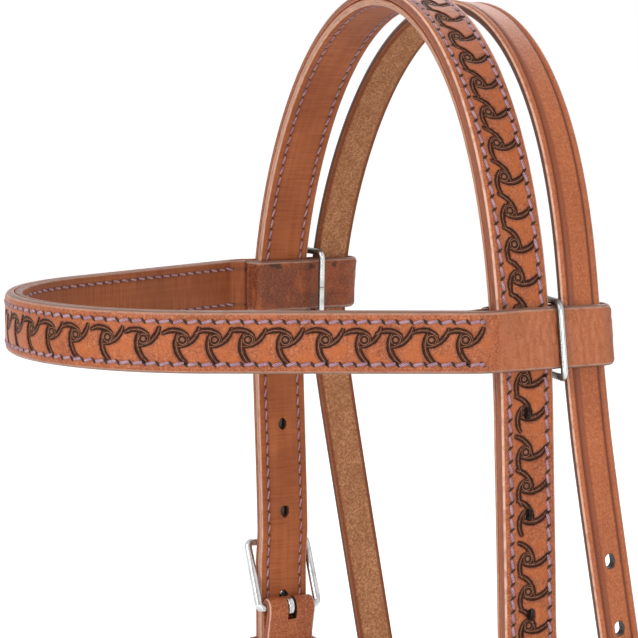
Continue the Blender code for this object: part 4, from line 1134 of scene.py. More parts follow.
def group_tree(name, given, made, inputs):
    """A Geometry Nodes tree from one geometry to another, with its input node and its inputs' identifiers."""
    tree = bpy.data.node_groups.new(name, "GeometryNodeTree")
    tree.is_modifier = True
    tree.interface.new_socket(given, in_out="INPUT", socket_type="NodeSocketGeometry")
    identifiers = {}
    for key, (kind, value) in inputs.items():
        socket = tree.interface.new_socket(key, in_out="INPUT", socket_type="NodeSocket" + kind)
        if value is not None:
            socket.default_value = value
        identifiers[key] = socket.identifier
    tree.interface.new_socket(made, in_out="OUTPUT", socket_type="NodeSocketGeometry")
    return tree, tree.nodes.new("NodeGroupInput").outputs, identifiers


def end_tree(tree, shape, finish, made):
    """The last nodes of a tree: one real mesh in one material."""
    real = add_node(tree, "GeometryNodeRealizeInstances", {"Geometry": shape})
    dressed = add_node(tree, "GeometryNodeSetMaterial", {"Geometry": real.outputs[0], "Material": finish})
    add_node(tree, "NodeGroupOutput", {made: dressed.outputs[0]})


def bent_bar_tree():
    """Geometry Nodes: a round bar along a line, with flat ends where the line is open."""
    tree, given, identifiers = group_tree("bent_bar", "Line", "Bar", {
        "Bar radius": ("Float", 0.001), "Sides": ("Int", 18), "Finish": ("Material", None)})
    line = add_node(tree, "GeometryNodeMeshToCurve", {"Mesh": given["Line"]})
    circle = add_node(tree, "GeometryNodeCurvePrimitiveCircle", {"Radius": given["Bar radius"],
                                                                 "Resolution": given["Sides"]})
    sweep = add_node(tree, "GeometryNodeCurveToMesh", {"Curve": line.outputs[0], "Profile Curve": circle.outputs[0],
                                                       "Fill Caps": True})
    smooth = add_node(tree, "GeometryNodeSetShadeSmooth", {"Geometry": sweep.outputs[0]})
    end_tree(tree, smooth.outputs[0], given["Finish"], "Bar")
    return tree, identifiers


BENT_BAR = bent_bar_tree()


def grown(name, mesh, grower, values):
    """Run a Geometry Nodes tree on a mesh and keep the result as a plain mesh object."""
    piece = bpy.data.objects.new(name, mesh)
    bpy.context.scene.collection.objects.link(piece)
    modifier = piece.modifiers.new("grow", "NODES")
    modifier.node_group, identifiers = grower
    for key, value in values.items():
        modifier[identifiers[key]] = value
    piece.data = bpy.data.meshes.new_from_object(piece.evaluated_get(bpy.context.evaluated_depsgraph_get()))
    piece.modifiers.clear()
    piece.data.name = name
    return piece


def bent_bar(name, points, radius, sides, finish, is_closed=True):
    """A bar of round wire bent along a line of points."""
    mesh = bpy.data.meshes.new(name + "_line")
    count = len(points)
    edges = [(k, (k + 1) % count) for k in range(count if is_closed else count - 1)]
    mesh.from_pydata([tuple(point) for point in points], edges, [])
    return outward(grown(name, mesh, BENT_BAR, {"Bar radius": radius, "Sides": sides, "Finish": finish}))


STEEL_SHADE = 0.70
# Dark colour painted on the wire's sides, standing in for shade and dark reflection.
WIRE_SIDE_SHADE = (0.115, 0.125, 0.115)


def bright_steel(name, colour, rough, scratch, painted_dark_sides=False):
    """Polished steel with drawing lines, fine scratches and a dulled bloom here and there. Optionally, the surface is
    painted darker where it turns away from ±x, as shade and dark reflection on the sides of a round wire.
    """
    finish = Finish(name)
    place = finish.place()
    bloom = finish.noise(place, 190, 3)
    drawn = finish.made(0, "ShaderNodeVectorMath", {0: place, 1: (1, 1, 0.08)}, operation="MULTIPLY")
    steel = finish.mix(finish.rise(bloom, 0.35, 0.7), colour, tuple(part * STEEL_SHADE for part in colour))
    if painted_dark_sides:
        # Painted shade on the wire's sides, set by the way its surface faces.
        turned = abs(finish.parts(finish.made("Normal", "ShaderNodeTexCoord"))[0])
        steel = finish.mix(finish.rise(turned, 0.55, 0.93, 0.85, 0), steel, WIRE_SIDE_SHADE)
    finish.set(Base_Color=steel, Metallic=1.0, Roughness=bloom * 0.16 + rough,
               Normal=finish.bump(finish.noise(drawn, 5200, 3, 0.6), scratch))
    return finish.material


WIRE_HANG = {"near": -0.0007, "far": 0.0007}
loop_wire = bright_steel("bent_steel_wire", (0.66, 0.69, 0.68), 0.20, 0.000012, painted_dark_sides=True)
wire_radius = WIRE_DIAMETER / 2
wire_out = band_outer + WIRE_SIDE_ROOM + wire_radius
wire_in = pocket_in - FOLD_PLY - WIRE_SIDE_ROOM - wire_radius
wire_tall = STRAP_WIDTH / 2 + WIRE_END_ROOM + wire_radius
half_wide = STRAP_WIDTH / 2
loop_face = STRAP_THICK / 2 + POCKET_SLACK + LOOP_ROOM + (FACE_PLY + LOOP_PLY) / 2 - WIRE_DIP
low_out, high_out = (float(strap_out(BAND_Z + up)) + loop_face for up in (-half_wide, half_wide))
bulge = float(strap_out(BAND_Z)) + loop_face - (low_out + high_out) / 2
for label, flip in (("near", 1), ("far", -1)):
    outline = rounded_outline(wire_in, wire_out, -wire_tall, wire_tall, WIRE_CORNER)
    on_inside = np.flatnonzero(np.abs(outline[:, 0] - wire_in) < 1e-6)
    break_at = on_inside[np.argmin(np.abs(outline[on_inside, 1] + WIRE_JOINT_BELOW_MIDDLE))]
    outline = np.roll(outline, -break_at, axis=0)
    ends = outline[:1] + (0, -WIRE_JOINT_GAP / 2), outline[:1] + (0, WIRE_JOINT_GAP / 2)
    outline = np.concatenate((ends[0], outline[1:], ends[1]))
    outer = (outline[:, 0] - wire_in) / (wire_out - wire_in)
    lean = (high_out - low_out) / STRAP_WIDTH * outline[:, 1]
    snug_out = (low_out + high_out) / 2 + bulge + wire_radius + lean
    snug_in = wire_in + bulge + lean * 0.6
    out = snug_in + (snug_out - snug_in) * outer
    places = np.column_stack((flip * out, loop_wire_y(out) - outline[:, 1] * math.sin(WIRE_TILT),
                              BAND_Z + WIRE_HANG[label] + outline[:, 1] * math.cos(WIRE_TILT)))
    loop = bent_bar(f"wire_loop_{label}_bent", places, wire_radius, WIRE_SIDES, loop_wire, is_closed=False)
    finish_piece(loop, loop_wire, "steel_wire", "browband", f"wire_loop_{label}")


# Cheekpieces: tooled like the crown. The face leather is turned over the buckle's bar at the top, and at the
# foot it is turned up round the bit's ring and held by two screw posts. A lining fills in between the turned ends.
CHEEK_BAR = 0.0030
CHEEK_BUCKLE_LENGTH = 0.0230
CHEEK_TONGUE_WIDTH = 0.0026
CHEEK_TONGUE_PLY = 0.0018
CHEEK_LENGTH = 0.2180
BIT_LOOP_RADIUS = 0.0060
BIT_LOOP_NECK = 0.0160
BIT_RETURN = 0.0420
POST_ABOVE_NECK = 0.0090
POST_PITCH = 0.0180
POST_DIAMETER = 0.0050
POST_ROOM = 0.0003
BILLET_CLEARANCE = 0.0004
CHAPE_RETURN = 0.0380
CHAPE_RAMP = 0.0100
TONGUE_SLOT_ROOM = 0.0004
SLOT_PAST_CHAPE = 0.002
CHEEK_STEP_SHARE = 1.1
CHEEK_CORNER_SHARE = 0.8
CHEEK_LINING_STITCH_START = 0.003
FOLD_EASE = 0.0008
CHEEK_ROW_START = 0.0125
CHEEK_TOOLING_PAST_POST = 0.0125
SLOPE_SPAN = 0.001


class Spot:
    """A place on a leg of the tack: out from the head, back across the strap and up along it."""

    def __init__(self, x, line, z, side):
        slope = float(line(z + SLOPE_SPAN) - line(z - SLOPE_SPAN)) / (2 * SLOPE_SPAN)
        self.side = side
        self.origin = np.array((side * x, float(line(z)), z))
        self.out = np.array((side, 0, 0), float)
        self.back = unit(np.array((0, 1, -slope), float))
        self.up = unit(np.array((0, slope, 1), float))

    def at(self, out, back, up):
        steps = ((out, self.out), (back, self.back), (up, self.up))
        return self.origin + sum(np.multiply.outer(length, way) for length, way in steps)


class BuckleSeat:
    """Where a buckle's bar, its turned strap end and the billet lie, measured out from the bar's middle."""

    def __init__(self, spot, bar, length, strap_width, strap_ply, billet_thick, toe_drop, tongue_ply):
        self.spot = spot
        self.bar = bar / 2
        self.length = length
        self.strap_width = strap_width
        self.fold_inner = self.bar + SEAT_GAP
        self.chape_out = self.fold_inner + FOLD_PLY
        self.chape_mid = self.chape_out - strap_ply / 2
        self.strap_ply = strap_ply
        self.return_mid = self.chape_out - strap_ply - PLY_GAP - FOLD_PLY / 2
        self.billet_in = self.chape_out + BILLET_CLEARANCE
        self.billet_out = self.billet_in + billet_thick
        self.billet_mid = (self.billet_in + self.billet_out) / 2
        self.toe_out = self.billet_out - toe_drop + BILLET_CLEARANCE + self.bar
        self.wrap = self.bar + SEAT_GAP + tongue_ply / 2
        spot.origin = spot.at(-self.billet_mid, 0, -self.wrap)

    def turned_end(self):
        """The strap end's line, up outside the bar, over it and down inside, with its thickness."""
        rise = self.fold_inner + FOLD_PLY / 2
        fold = arc((0, 0), rise, 0, math.pi, 40)
        line = [(self.chape_mid, -CHAPE_RAMP), (rise, -2 * self.bar), *fold, (-rise, -self.bar),
                (self.return_mid, -CHAPE_RAMP), (self.return_mid, -CHAPE_RETURN)]
        return line, [self.strap_ply] + [FOLD_PLY] * (len(line) - 1)


def ease(share):
    """A straight share made to start and end softly."""
    return share * share * (3 - 2 * share)


def billet_out(z):
    """How far out the crown's middle lies on its legs."""
    return CROWN_HALF_SPAN + BILLET_KICK * float(smooth_step(KICK_START_Z - z, 0, KICK_RUN))


def cheek_seat(side):
    spot = Spot(billet_out(BUCKLED_HOLE_Z), crown_y, BUCKLED_HOLE_Z, side)
    return BuckleSeat(spot, CHEEK_BAR, CHEEK_BUCKLE_LENGTH, STRAP_WIDTH, FACE_PLY, STRAP_THICK, BILLET_KICK / 2,
                      CHEEK_TONGUE_PLY)


def cheek_route(seat, step):
    """From the inner end at the foot, round the bit loop, up the outside and over the buckle's bar."""
    foot, neck = -CHEEK_LENGTH, BIT_LOOP_NECK - CHEEK_LENGTH
    loop_radius = BIT_LOOP_RADIUS + FACE_PLY / 2
    inner = seat.chape_mid - FACE_PLY - PLY_GAP
    middle = (seat.chape_mid + inner) / 2
    shares = np.linspace(0.08, 0.92, 10)
    line = [(inner, neck + BIT_RETURN), (inner, neck)]
    line += [(inner + (middle - loop_radius - inner) * ease(share), neck - BIT_LOOP_NECK * share) for share in shares]
    line += list(arc((middle, foot), loop_radius, math.pi, math.tau, 60))
    rise = middle + loop_radius - seat.chape_mid
    line += [(seat.chape_mid + rise * ease(share), neck - BIT_LOOP_NECK * share) for share in shares[::-1]]
    line += [(seat.chape_mid, neck)]
    turned, plies = seat.turned_end()
    outline = np.array(line + turned)
    ply = np.array([FACE_PLY] * len(line) + plies)
    points = seat.spot.at(outline[:, 0], np.zeros(len(outline)), outline[:, 1])
    return Route(points, -seat.spot.side * seat.spot.back, step, FOLD_EASE, ply)


def box_cutter(spot, outs, backs, ups):
    """A box that reaches between two distances out, back and up from a spot."""
    corners = [spot.at(outs[k], backs[j], up) for up in ups for k, j in ((0, 0), (1, 0), (1, 1), (0, 1))]
    quads = [(0, 1, 5, 4), (1, 2, 6, 5), (2, 3, 7, 6), (3, 0, 4, 7), (0, 3, 2, 1), (4, 5, 6, 7)]
    return outward(mesh_piece("box_cutter", corners, quads))


def slot_cutter(seat, tongue_width):
    """The slot that the buckle's tongue comes through, in the turned strap end."""
    half = tongue_width / 2 + TONGUE_SLOT_ROOM
    depth = seat.chape_out + SLOT_PAST_CHAPE
    bottom = -seat.bar - SEAT_GAP - FOLD_PLY - SEAT_GAP
    return box_cutter(seat.spot, (-depth, depth), (-half, half), (bottom, depth))


cheek_seats = {"near": cheek_seat(1), "far": cheek_seat(-1)}
cheek_parts = {}
for label, seat in cheek_seats.items():
    cheek = cheek_route(seat, TOOLED_STEP_ALONG * CHEEK_STEP_SHARE)
    neck = BIT_LOOP_NECK - CHEEK_LENGTH
    out_neck = cheek.run_nearest(seat.spot.at(seat.chape_mid, 0, neck))
    top_fold = cheek.run_nearest(seat.spot.at(seat.fold_inner + FOLD_PLY / 2, 0, 0))
    first, last = out_neck + 0.001, top_fold - CHEEK_ROW_START + 0.0045
    last = first + int((last - first) / STITCH_PITCH) * STITCH_PITCH

    def cheek_seam(run, side, first=first, last=last, length=cheek.run[-1]):
        sewn = (run > first - STITCH_PITCH / 2) & (run < last + STITCH_PITCH / 2)
        return np.where(sewn, row_offset(run, side, length), 1.0)

    first_ring = out_neck + POST_ABOVE_NECK + POST_PITCH + CHEEK_TOOLING_PAST_POST
    tooling_end = top_fold - CHEEK_ROW_START
    cheek_rings = hand_set(np.arange(first_ring, tooling_end, SWIRL_PITCH), 13 if label == "near" else 14)

    def cheek_field(run, side, rings=cheek_rings, start=first_ring - SWIRL_PITCH * 0.6, end=tooling_end):
        return swirl_field(run, side, rings, (start, end))

    def cheek_relief(run, side, field, first=first, last=last, seam=cheek_seam):
        return swirl_relief(field) + stitch_relief(run, side, seam(run, side), first, last)

    face = strap_piece(f"cheek_{label}_tooled_face", cheek, STRAP_WIDTH,
                       (FACE_CORNER * CHEEK_CORNER_SHARE, SEAM_CORNER), TOOLED_STEP_ACROSS * CHEEK_STEP_SHARE, 0,
                       cheek_relief, cheek_field, seam=cheek_seam)
    hole = POST_DIAMETER + 2 * POST_ROOM
    cutters = [slot_cutter(seat, CHEEK_TONGUE_WIDTH)]
    for up in (neck + POST_ABOVE_NECK, neck + POST_ABOVE_NECK + POST_PITCH):
        run = cheek.run_nearest(seat.spot.at(seat.chape_mid, 0, up))
        cutters.append(hole_cutter(cheek, run, hole, hole, STRAP_THICK * 1.5))
    punch(face, cutters)
    finish_piece(face, tooled_leather(f"tooled_russet_cheek_{label}", first), "tooled_leather", "headstall",
                 f"cheek_{label}_face")

    lining_mid = seat.chape_out - FACE_PLY - PLY_GAP - LINING_PLY / 2
    ups = (neck + BIT_RETURN + SEAT_GAP, -CHAPE_RETURN - SEAT_GAP)
    ends = seat.spot.at(np.full(2, lining_mid), np.zeros(2), ups)
    inside = Route(ends, -seat.spot.side * seat.spot.back, PLAIN_STEP_ALONG, 0, LINING_PLY).turned()

    def inside_seam(run, side, length=inside.run[-1]):
        return row_offset(run, side, length)

    lining = strap_piece(f"cheek_{label}_lining_leather", inside, STRAP_WIDTH, (LINING_CORNER, SEAM_CORNER),
                         PLAIN_STEP_ACROSS, 0, lining_relief(inside.run[-1], CHEEK_LINING_STITCH_START),
                         seam=inside_seam)
    finish_piece(lining, lining_leather(f"lining_russet_cheek_{label}", CHEEK_LINING_STITCH_START, LINING_EDGE_TAN_AND_HIGHLIGHT),
                 "lining_leather", "headstall", f"cheek_{label}_lining")
    cheek_parts[label] = (cheek, first, last, inside, inside.run[-1])


# Throatlatch: one plain, heavy strap. It hangs from the near side's buckle, goes under the throat, up the far
# side and over the poll behind the crown, and back to its buckle. Its edges are bevelled, creased and rubbed.
THROAT_BUCKLE_BELOW_BAND = 0.1150
THROAT_HOLE_PITCH = 0.0220
THROAT_HOLE_COUNT = 5
THROAT_BUCKLED_HOLE = 3
THROAT_TAIL_PAST_HOLE = 0.0260
THROAT_SIDE_DROP = 0.1880
THROAT_BOW_DEPTH = 0.0900
THROAT_BAR = 0.0025
THROAT_BUCKLE_LENGTH = 0.0180
THROAT_TONGUE_WIDTH = 0.0022
THROAT_TONGUE_PLY = 0.0016
THROAT_CREASE = 0.0043
THROAT_STEP = 0.0013
THROAT_STEP_ACROSS = 0.00036
THROAT_CORNER = 0.0014
CREASE_DEPTH = 0.00055
CREASE_WIDTH = 0.00050
BEAD_HEIGHT = 0.00030
BEAD_OFF_CREASE = 0.0013
BEAD_WIDTH = 0.0007
EDGE_ROUNDING = 0.00030
EDGE_ROUNDING_WIDTH = 0.0018
SUEDE_FUZZ = 0.00035

throat_spot = Spot(throat_half_span, throat_y, BAND_Z - THROAT_BUCKLE_BELOW_BAND, 1)
throat_seat = BuckleSeat(throat_spot, THROAT_BAR, THROAT_BUCKLE_LENGTH, THROAT_WIDTH, THROAT_PLY, THROAT_PLY, 0,
                         THROAT_TONGUE_PLY)


def throat_route(step):
    """From the turned end inside the buckle, down, under the throat, up, over the poll and down to the tail."""
    turned, plies = throat_seat.turned_end()
    turned = np.array(turned[::-1])
    start = throat_spot.at(turned[:, 0], np.zeros(len(turned)), turned[:, 1])
    near_x = throat_spot.origin[0] + throat_seat.chape_mid
    bow_z = BAND_Z - THROAT_SIDE_DROP
    middle_x, half = (near_x - throat_half_span) / 2, (near_x + throat_half_span) / 2
    turn = np.linspace(0, math.pi, 260)
    x = middle_x + half * np.cos(turn)
    z = bow_z - THROAT_BOW_DEPTH * np.sin(turn)
    leg_up = np.arange(bow_z + 0.001, SPRING_Z, 0.001)
    over = np.linspace(-math.pi / 2, math.pi / 2, 400)
    arch_rise = THROAT_RISE * np.cos(over)
    fall = (THROAT_HOLE_COUNT - THROAT_BUCKLED_HOLE) * THROAT_HOLE_PITCH + THROAT_TAIL_PAST_HOLE - throat_seat.wrap
    tip_z = throat_spot.origin[2] - fall * throat_spot.up[2]
    leg_down = np.arange(SPRING_Z - 0.001, tip_z, -0.001)
    x = np.concatenate((x, np.full(len(leg_up), -throat_half_span), throat_half_span * np.sin(over),
                        np.full(len(leg_down), throat_half_span), [throat_half_span]))
    z = np.concatenate((z, leg_up, SPRING_Z + arch_rise, leg_down, [tip_z]))
    y = throat_y(z)
    slope = (throat_y(z + SLOPE_SPAN) - throat_y(z - SLOPE_SPAN)) / (2 * SLOPE_SPAN)
    across = unit(np.stack((np.zeros_like(z), np.ones_like(z), -slope), axis=1))
    points = np.concatenate((start, np.stack((x, y, z), axis=1)))
    across = np.concatenate((np.broadcast_to(throat_spot.back, start.shape), across))
    ply = np.concatenate((plies[::-1], np.full(len(z), THROAT_PLY)))
    return Route(points, across, step, FOLD_EASE, ply)


def throat_relief(run, side, field):
    """A pressed crease inside each edge, the leather swelling a little outside it."""
    off_crease = np.abs(side) - THROAT_CREASE
    pressed = BEAD_HEIGHT * bell(off_crease - BEAD_OFF_CREASE, BEAD_WIDTH) - CREASE_DEPTH * bell(off_crease, CREASE_WIDTH)
    return pressed - EDGE_ROUNDING * smooth_step(np.abs(side), THROAT_WIDTH / 2 - EDGE_ROUNDING_WIDTH, THROAT_WIDTH / 2)


THROAT_LIGHT = (0.44, 0.125, 0.042)
THROAT_DEEP = (0.29, 0.070, 0.023)
THROAT_WORN = (0.56, 0.190, 0.075)
# Dark brown for the creases and the skived edges, and for painted shade inside the front crease.
THROAT_CREASE_AND_SHADE_BROWN = (0.20, 0.048, 0.019)
THROAT_CREASE_LINE = (0.085, 0.022, 0.011)
SUEDE_LIGHT = (0.66, 0.33, 0.160)
SUEDE_DEEP = (0.30, 0.110, 0.045)


def throat_leather():
    """Russet strap leather: smooth grain with dark creases outside and painted shade inside one crease, fuzzy tan suede
    inside, burnished edges with a painted highlight line.
    """
    finish = Finish("throatlatch_russet")
    place, side = finish.place(), finish.attribute("side")
    off_crease = abs(abs(side) - THROAT_CREASE)
    outer = russet(finish, THROAT_LIGHT, THROAT_DEEP, THROAT_WORN)
    outer = finish.mix(finish.rise(off_crease, 0.0002, 0.0013, 0.55, 0), outer, THROAT_CREASE_AND_SHADE_BROWN)
    outer = finish.mix(finish.rise(off_crease, 0.0000, 0.0004, 0.75, 0), outer, THROAT_CREASE_LINE)
    # Painted shade: a band just inside the crease on one side, where the leather slopes away from the light.
    front_painted_shade = (finish.rise(side, -THROAT_CREASE - 0.0005, -THROAT_CREASE)
                  * finish.rise(side, 0.0014 - THROAT_CREASE, 0.0022 - THROAT_CREASE, 0.7, 0))
    outer = finish.mix(front_painted_shade, outer, THROAT_CREASE_AND_SHADE_BROWN)
    fibres = finish.noise(place, 1150, 5, 0.75)
    suede = finish.mix(finish.rise(fibres, 0.35, 0.68), SUEDE_DEEP, SUEDE_LIGHT)
    suede = finish.mix(finish.rise(finish.noise(place, 210, 3), 0.35, 0.65) * 0.35, suede, SUEDE_DEEP)
    is_suede = finish.rise(finish.attribute("level"), -0.9, -0.6, 1, 0)
    skived = finish.rise(abs(side), THROAT_WIDTH / 2 - 0.0022, THROAT_WIDTH / 2 - 0.0013, 0, 0.8)
    colour = finish.mix(is_suede * skived, finish.mix(is_suede, outer, suede), THROAT_CREASE_AND_SHADE_BROWN)
    colour = finish.shade_punched_rims(edged(finish, colour, EDGE_BROWN, 0.80))
    skin = finish.bump((is_suede * 0.9 + 0.1) * fibres, SUEDE_FUZZ, grain(finish))
    finish.set(Base_Color=colour, Roughness=is_suede * 0.55 + 0.40, Normal=skin, Specular_IOR_Level=0.30)
    return finish.material


throat = throat_route(THROAT_STEP)
throat_strap = strap_piece("throatlatch_creased_strap", throat, THROAT_WIDTH, (THROAT_CORNER, THROAT_CORNER),
                           THROAT_STEP_ACROSS, 0, throat_relief, tips=("end",))
cutters = [slot_cutter(throat_seat, THROAT_TONGUE_WIDTH)]
for index in range(THROAT_HOLE_COUNT):
    up = throat_seat.wrap - (index + 1 - THROAT_BUCKLED_HOLE) * THROAT_HOLE_PITCH
    run = throat.run_nearest(throat_spot.at(throat_seat.billet_mid, 0, up))
    cutters.append(hole_cutter(throat, run, HOLE_WIDTH, HOLE_LENGTH, THROAT_PLY / 2 + SEAT_GAP))
punch(throat_strap, cutters)
finish_piece(throat_strap, throat_leather(), "plain_leather", "headstall", "throatlatch_strap")


# Buckles: stainless frames bent from round bar, one on each cheekpiece and one on the throatlatch. Each tongue
# is a flat bar wrapped round the frame's bar at the bottom, and its point lies over the toe at the top.
BUCKLE_SIDE_ROOM = 0.0008
BUCKLE_CORNER = 0.0021
TONGUE_OVERHANG = 0.0016
TONGUE_WRAP = (math.radians(-20), math.radians(-270))
TONGUE_RISE_SHARES = ((-0.5, 1.1), (0.125, 1.5), (0.25, 2.2))
TONGUE_EASE = 0.0006
TONGUE_STEP = 0.0005
TONGUE_POINT_RUN = 0.0025
TONGUE_POINT_SHARE = 0.35
TONGUE_CORNER_SHARE = 0.42

buckle_steel = bright_steel("stainless_buckle", (0.70, 0.70, 0.71), 0.14, 0.000014)


def tongue_piece(name, seat, width, ply):
    """The buckle's tongue, wrapped round the bar, up beside the billet and over the toe."""
    over = seat.billet_out + BILLET_CLEARANCE + ply / 2
    toe_over = seat.toe_out + seat.bar + SEAT_GAP + ply / 2
    line = list(arc((0, 0), seat.wrap, TONGUE_WRAP[0], TONGUE_WRAP[1], 40)) + [(seat.billet_mid, seat.wrap)]
    line += [(over + seat.wrap * out, seat.wrap * up) for out, up in TONGUE_RISE_SHARES]
    line += [(toe_over, seat.length - seat.bar), (toe_over, seat.length + TONGUE_OVERHANG)]
    line = np.array(line)
    points = seat.spot.at(line[:, 0], np.zeros(len(line)), line[:, 1])
    route = Route(points, -seat.spot.side * seat.spot.back, TONGUE_STEP, TONGUE_EASE, ply)
    left = np.clip((route.run[-1] - route.run) / TONGUE_POINT_RUN, 0, 1)
    share = np.maximum(np.sqrt(1 - (1 - left) ** 2), TONGUE_POINT_SHARE)[:, None]
    profile, _ = strap_profile(width, ply * TONGUE_CORNER_SHARE, ply * TONGUE_CORNER_SHARE, width / 3)
    side = (profile[:, 0] + profile[:, 2]) * share
    height = (profile[:, 1] * ply / 2 + profile[:, 3]) * (0.55 + 0.45 * share)
    return outward(swept(name, route.centre, route.across, route.normal, side, height))


for label, seat, width, ply in (
    ("cheek_near", cheek_seats["near"], CHEEK_TONGUE_WIDTH, CHEEK_TONGUE_PLY),
    ("cheek_far", cheek_seats["far"], CHEEK_TONGUE_WIDTH, CHEEK_TONGUE_PLY),
    ("throat", throat_seat, THROAT_TONGUE_WIDTH, THROAT_TONGUE_PLY),
):
    half = seat.strap_width / 2 + BUCKLE_SIDE_ROOM + seat.bar
    reach = math.hypot(seat.toe_out, seat.length)
    outline = rounded_outline(-half, half, 0, reach, BUCKLE_CORNER)
    places = seat.spot.at(outline[:, 1] * seat.toe_out / reach, outline[:, 0], outline[:, 1] * seat.length / reach)
    frame_bar = bent_bar(f"{label}_buckle_bent_frame", places, seat.bar, WIRE_SIDES, buckle_steel)
    finish_piece(frame_bar, buckle_steel, "stainless_steel", "headstall", f"{label}_buckle_frame")
    tongue = tongue_piece(f"{label}_buckle_bent_tongue", seat, width, ply)
    finish_piece(tongue, buckle_steel, "stainless_steel", f"{label}_tongue", f"{label}_buckle_tongue")


# Keepers: strips of plain leather round the strap and the billet's tail. The upper one is stitched in behind
# the buckle, and the lower one is loose and slides.
KEEPER_WALL = 0.0016
KEEPER_WIDTH = 0.0090
KEEPER_CORNER = 0.0013
KEEPER_ROOM = 0.0005
FIXED_BELOW_BAR = 0.0130
CHEEK_LOOSE_BELOW_BAR = 0.0460
THROAT_LOOSE_BELOW_BAR = 0.0400
KEEPER_CREASE = 0.0030
KEEPER_CREASE_DEPTH = 0.00016
KEEPER_CREASE_WIDTH = 0.00025
KEEPER_LIGHT = (0.47, 0.150, 0.055)
KEEPER_DEEP = (0.32, 0.090, 0.032)
KEEPER_WORN = (0.55, 0.200, 0.085)


def keeper_piece(name, seat, below_bar, inner, width):
    """A closed leather band with rounded edges and a crease along both of them."""
    low = inner - KEEPER_ROOM - KEEPER_WALL / 2
    high = seat.billet_out + KEEPER_ROOM + KEEPER_WALL / 2
    half = width / 2 + KEEPER_ROOM + KEEPER_WALL / 2
    outline = rounded_outline(low, high, -half, half, KEEPER_CORNER)
    middle = -below_bar - KEEPER_WIDTH / 2
    tangent = unit(np.roll(outline, -1, axis=0) - np.roll(outline, 1, axis=0))
    centre = seat.spot.at(outline[:, 0], outline[:, 1], np.full(len(outline), middle))
    normal = np.multiply.outer(tangent[:, 1], seat.spot.out) - np.multiply.outer(tangent[:, 0], seat.spot.back)
    profile, top = strap_profile(KEEPER_WIDTH, 0.0005, 0.0003, 0.0003)
    shape = (len(outline), len(profile))
    side = np.broadcast_to(profile[:, 0] + profile[:, 2], shape)
    height = np.array(np.broadcast_to(profile[:, 1] * KEEPER_WALL / 2 + profile[:, 3], shape))
    height[:, :top] -= KEEPER_CREASE_DEPTH * bell(np.abs(side[:, :top]) - KEEPER_CREASE, KEEPER_CREASE_WIDTH)
    attributes = {"run": np.broadcast_to(Route.lengths(outline)[:, None], shape), "side": side,
                  "level": np.broadcast_to(profile[:, 1] + profile[:, 3] / KEEPER_WALL * 2, shape)}
    across = np.broadcast_to(seat.spot.up, centre.shape)
    return outward(swept(name, centre, across, normal, side, height, attributes, is_closed=True))


def keeper_leather():
    """Plain russet strip, a little darker in its creases and at its edges, with a painted highlight line on its grain
    corners.
    """
    finish = Finish("keeper_russet")
    colour = russet(finish, KEEPER_LIGHT, KEEPER_DEEP, KEEPER_WORN)
    off_crease = abs(abs(finish.attribute("side")) - KEEPER_CREASE)
    colour = finish.mix(finish.rise(off_crease, 0.0001, 0.0005, 0.7, 0), colour, THROAT_CREASE_AND_SHADE_BROWN)
    finish.set(Base_Color=edged(finish, colour, EDGE_RUSSET), Roughness=0.42, Normal=grain(finish))
    return finish.material


keeper_finish = keeper_leather()
for label, seat, below in (
    ("cheek_near", cheek_seats["near"], CHEEK_LOOSE_BELOW_BAR),
    ("cheek_far", cheek_seats["far"], CHEEK_LOOSE_BELOW_BAR),
    ("throat", throat_seat, THROAT_LOOSE_BELOW_BAR),
):
    behind = seat.chape_out - (THROAT_PLY if label == "throat" else STRAP_THICK)
    sewn_to = seat.return_mid - FOLD_PLY / 2
    fixed = keeper_piece(f"{label}_fixed_strip", seat, FIXED_BELOW_BAR, sewn_to, seat.strap_width)
    finish_piece(fixed, keeper_finish, "keeper_leather", "headstall", f"{label}_fixed_keeper")
    loose = keeper_piece(f"{label}_loose_strip", seat, below, behind, seat.strap_width)
    finish_piece(loose, keeper_finish, "keeper_leather", f"{label}_keeper", f"{label}_loose_keeper")


# Screw posts: two through each bit loop's neck. The post has a domed head outside, and the slotted screw is
# turned into it from the side towards the head.
POST_BORE = 0.0038
POST_HEAD = 0.0095
POST_HEAD_HEIGHT = 0.0014
SCREW_SHANK = 0.0032
SLOT_WIDTH = 0.0011
SLOT_DEPTH = 0.0006
POST_SIDES = 40
POST_SHARP_TURN = math.radians(38)
DOME_STEPS = 8
DOME_RIM_SHARE = 0.25


def dome(head, base, height, up):
    """Radius and height pairs of a low domed head, from its rim to its middle."""
    rows = [(head, base), (head, base + up * height * DOME_RIM_SHARE)]
    for turn in np.linspace(0, math.pi / 2, DOME_STEPS)[1:]:
        rise = DOME_RIM_SHARE + (1 - DOME_RIM_SHARE) * math.sin(turn)
        rows.append((head * math.cos(turn) ** 0.8 if turn < 1.57 else 0, base + up * height * rise))
    return rows


def turned_piece(name, spot, up, profile):
    """A lathe-turned piece whose axis points out of the strap, closed at its middle."""
    turn = np.linspace(0, math.tau, POST_SIDES, endpoint=False)
    shape = bmesh.new()
    rings = []
    for radius, out in profile:
        if radius == 0:
            rings.append([shape.verts.new(spot.at(out, 0, up))])
        else:
            ring = zip(radius * np.cos(turn), up + radius * np.sin(turn))
            rings.append([shape.verts.new(spot.at(out, back, higher)) for back, higher in ring])
    for ring, following in zip(rings, rings[1:]):
        for k in range(POST_SIDES):
            after = (k + 1) % POST_SIDES
            corners = [ring[k % len(ring)], ring[after % len(ring)], following[after % len(following)],
                       following[k % len(following)]]
            shape.faces.new(list(dict.fromkeys(corners)))
    bmesh.ops.recalc_face_normals(shape, faces=shape.faces)
    mesh = bpy.data.meshes.new(name)
    shape.to_mesh(mesh)
    shape.free()
    mesh.shade_smooth()
    mesh.set_sharp_from_angle(angle=POST_SHARP_TURN)
    piece = bpy.data.objects.new(name, mesh)
    bpy.context.scene.collection.objects.link(piece)
    return piece


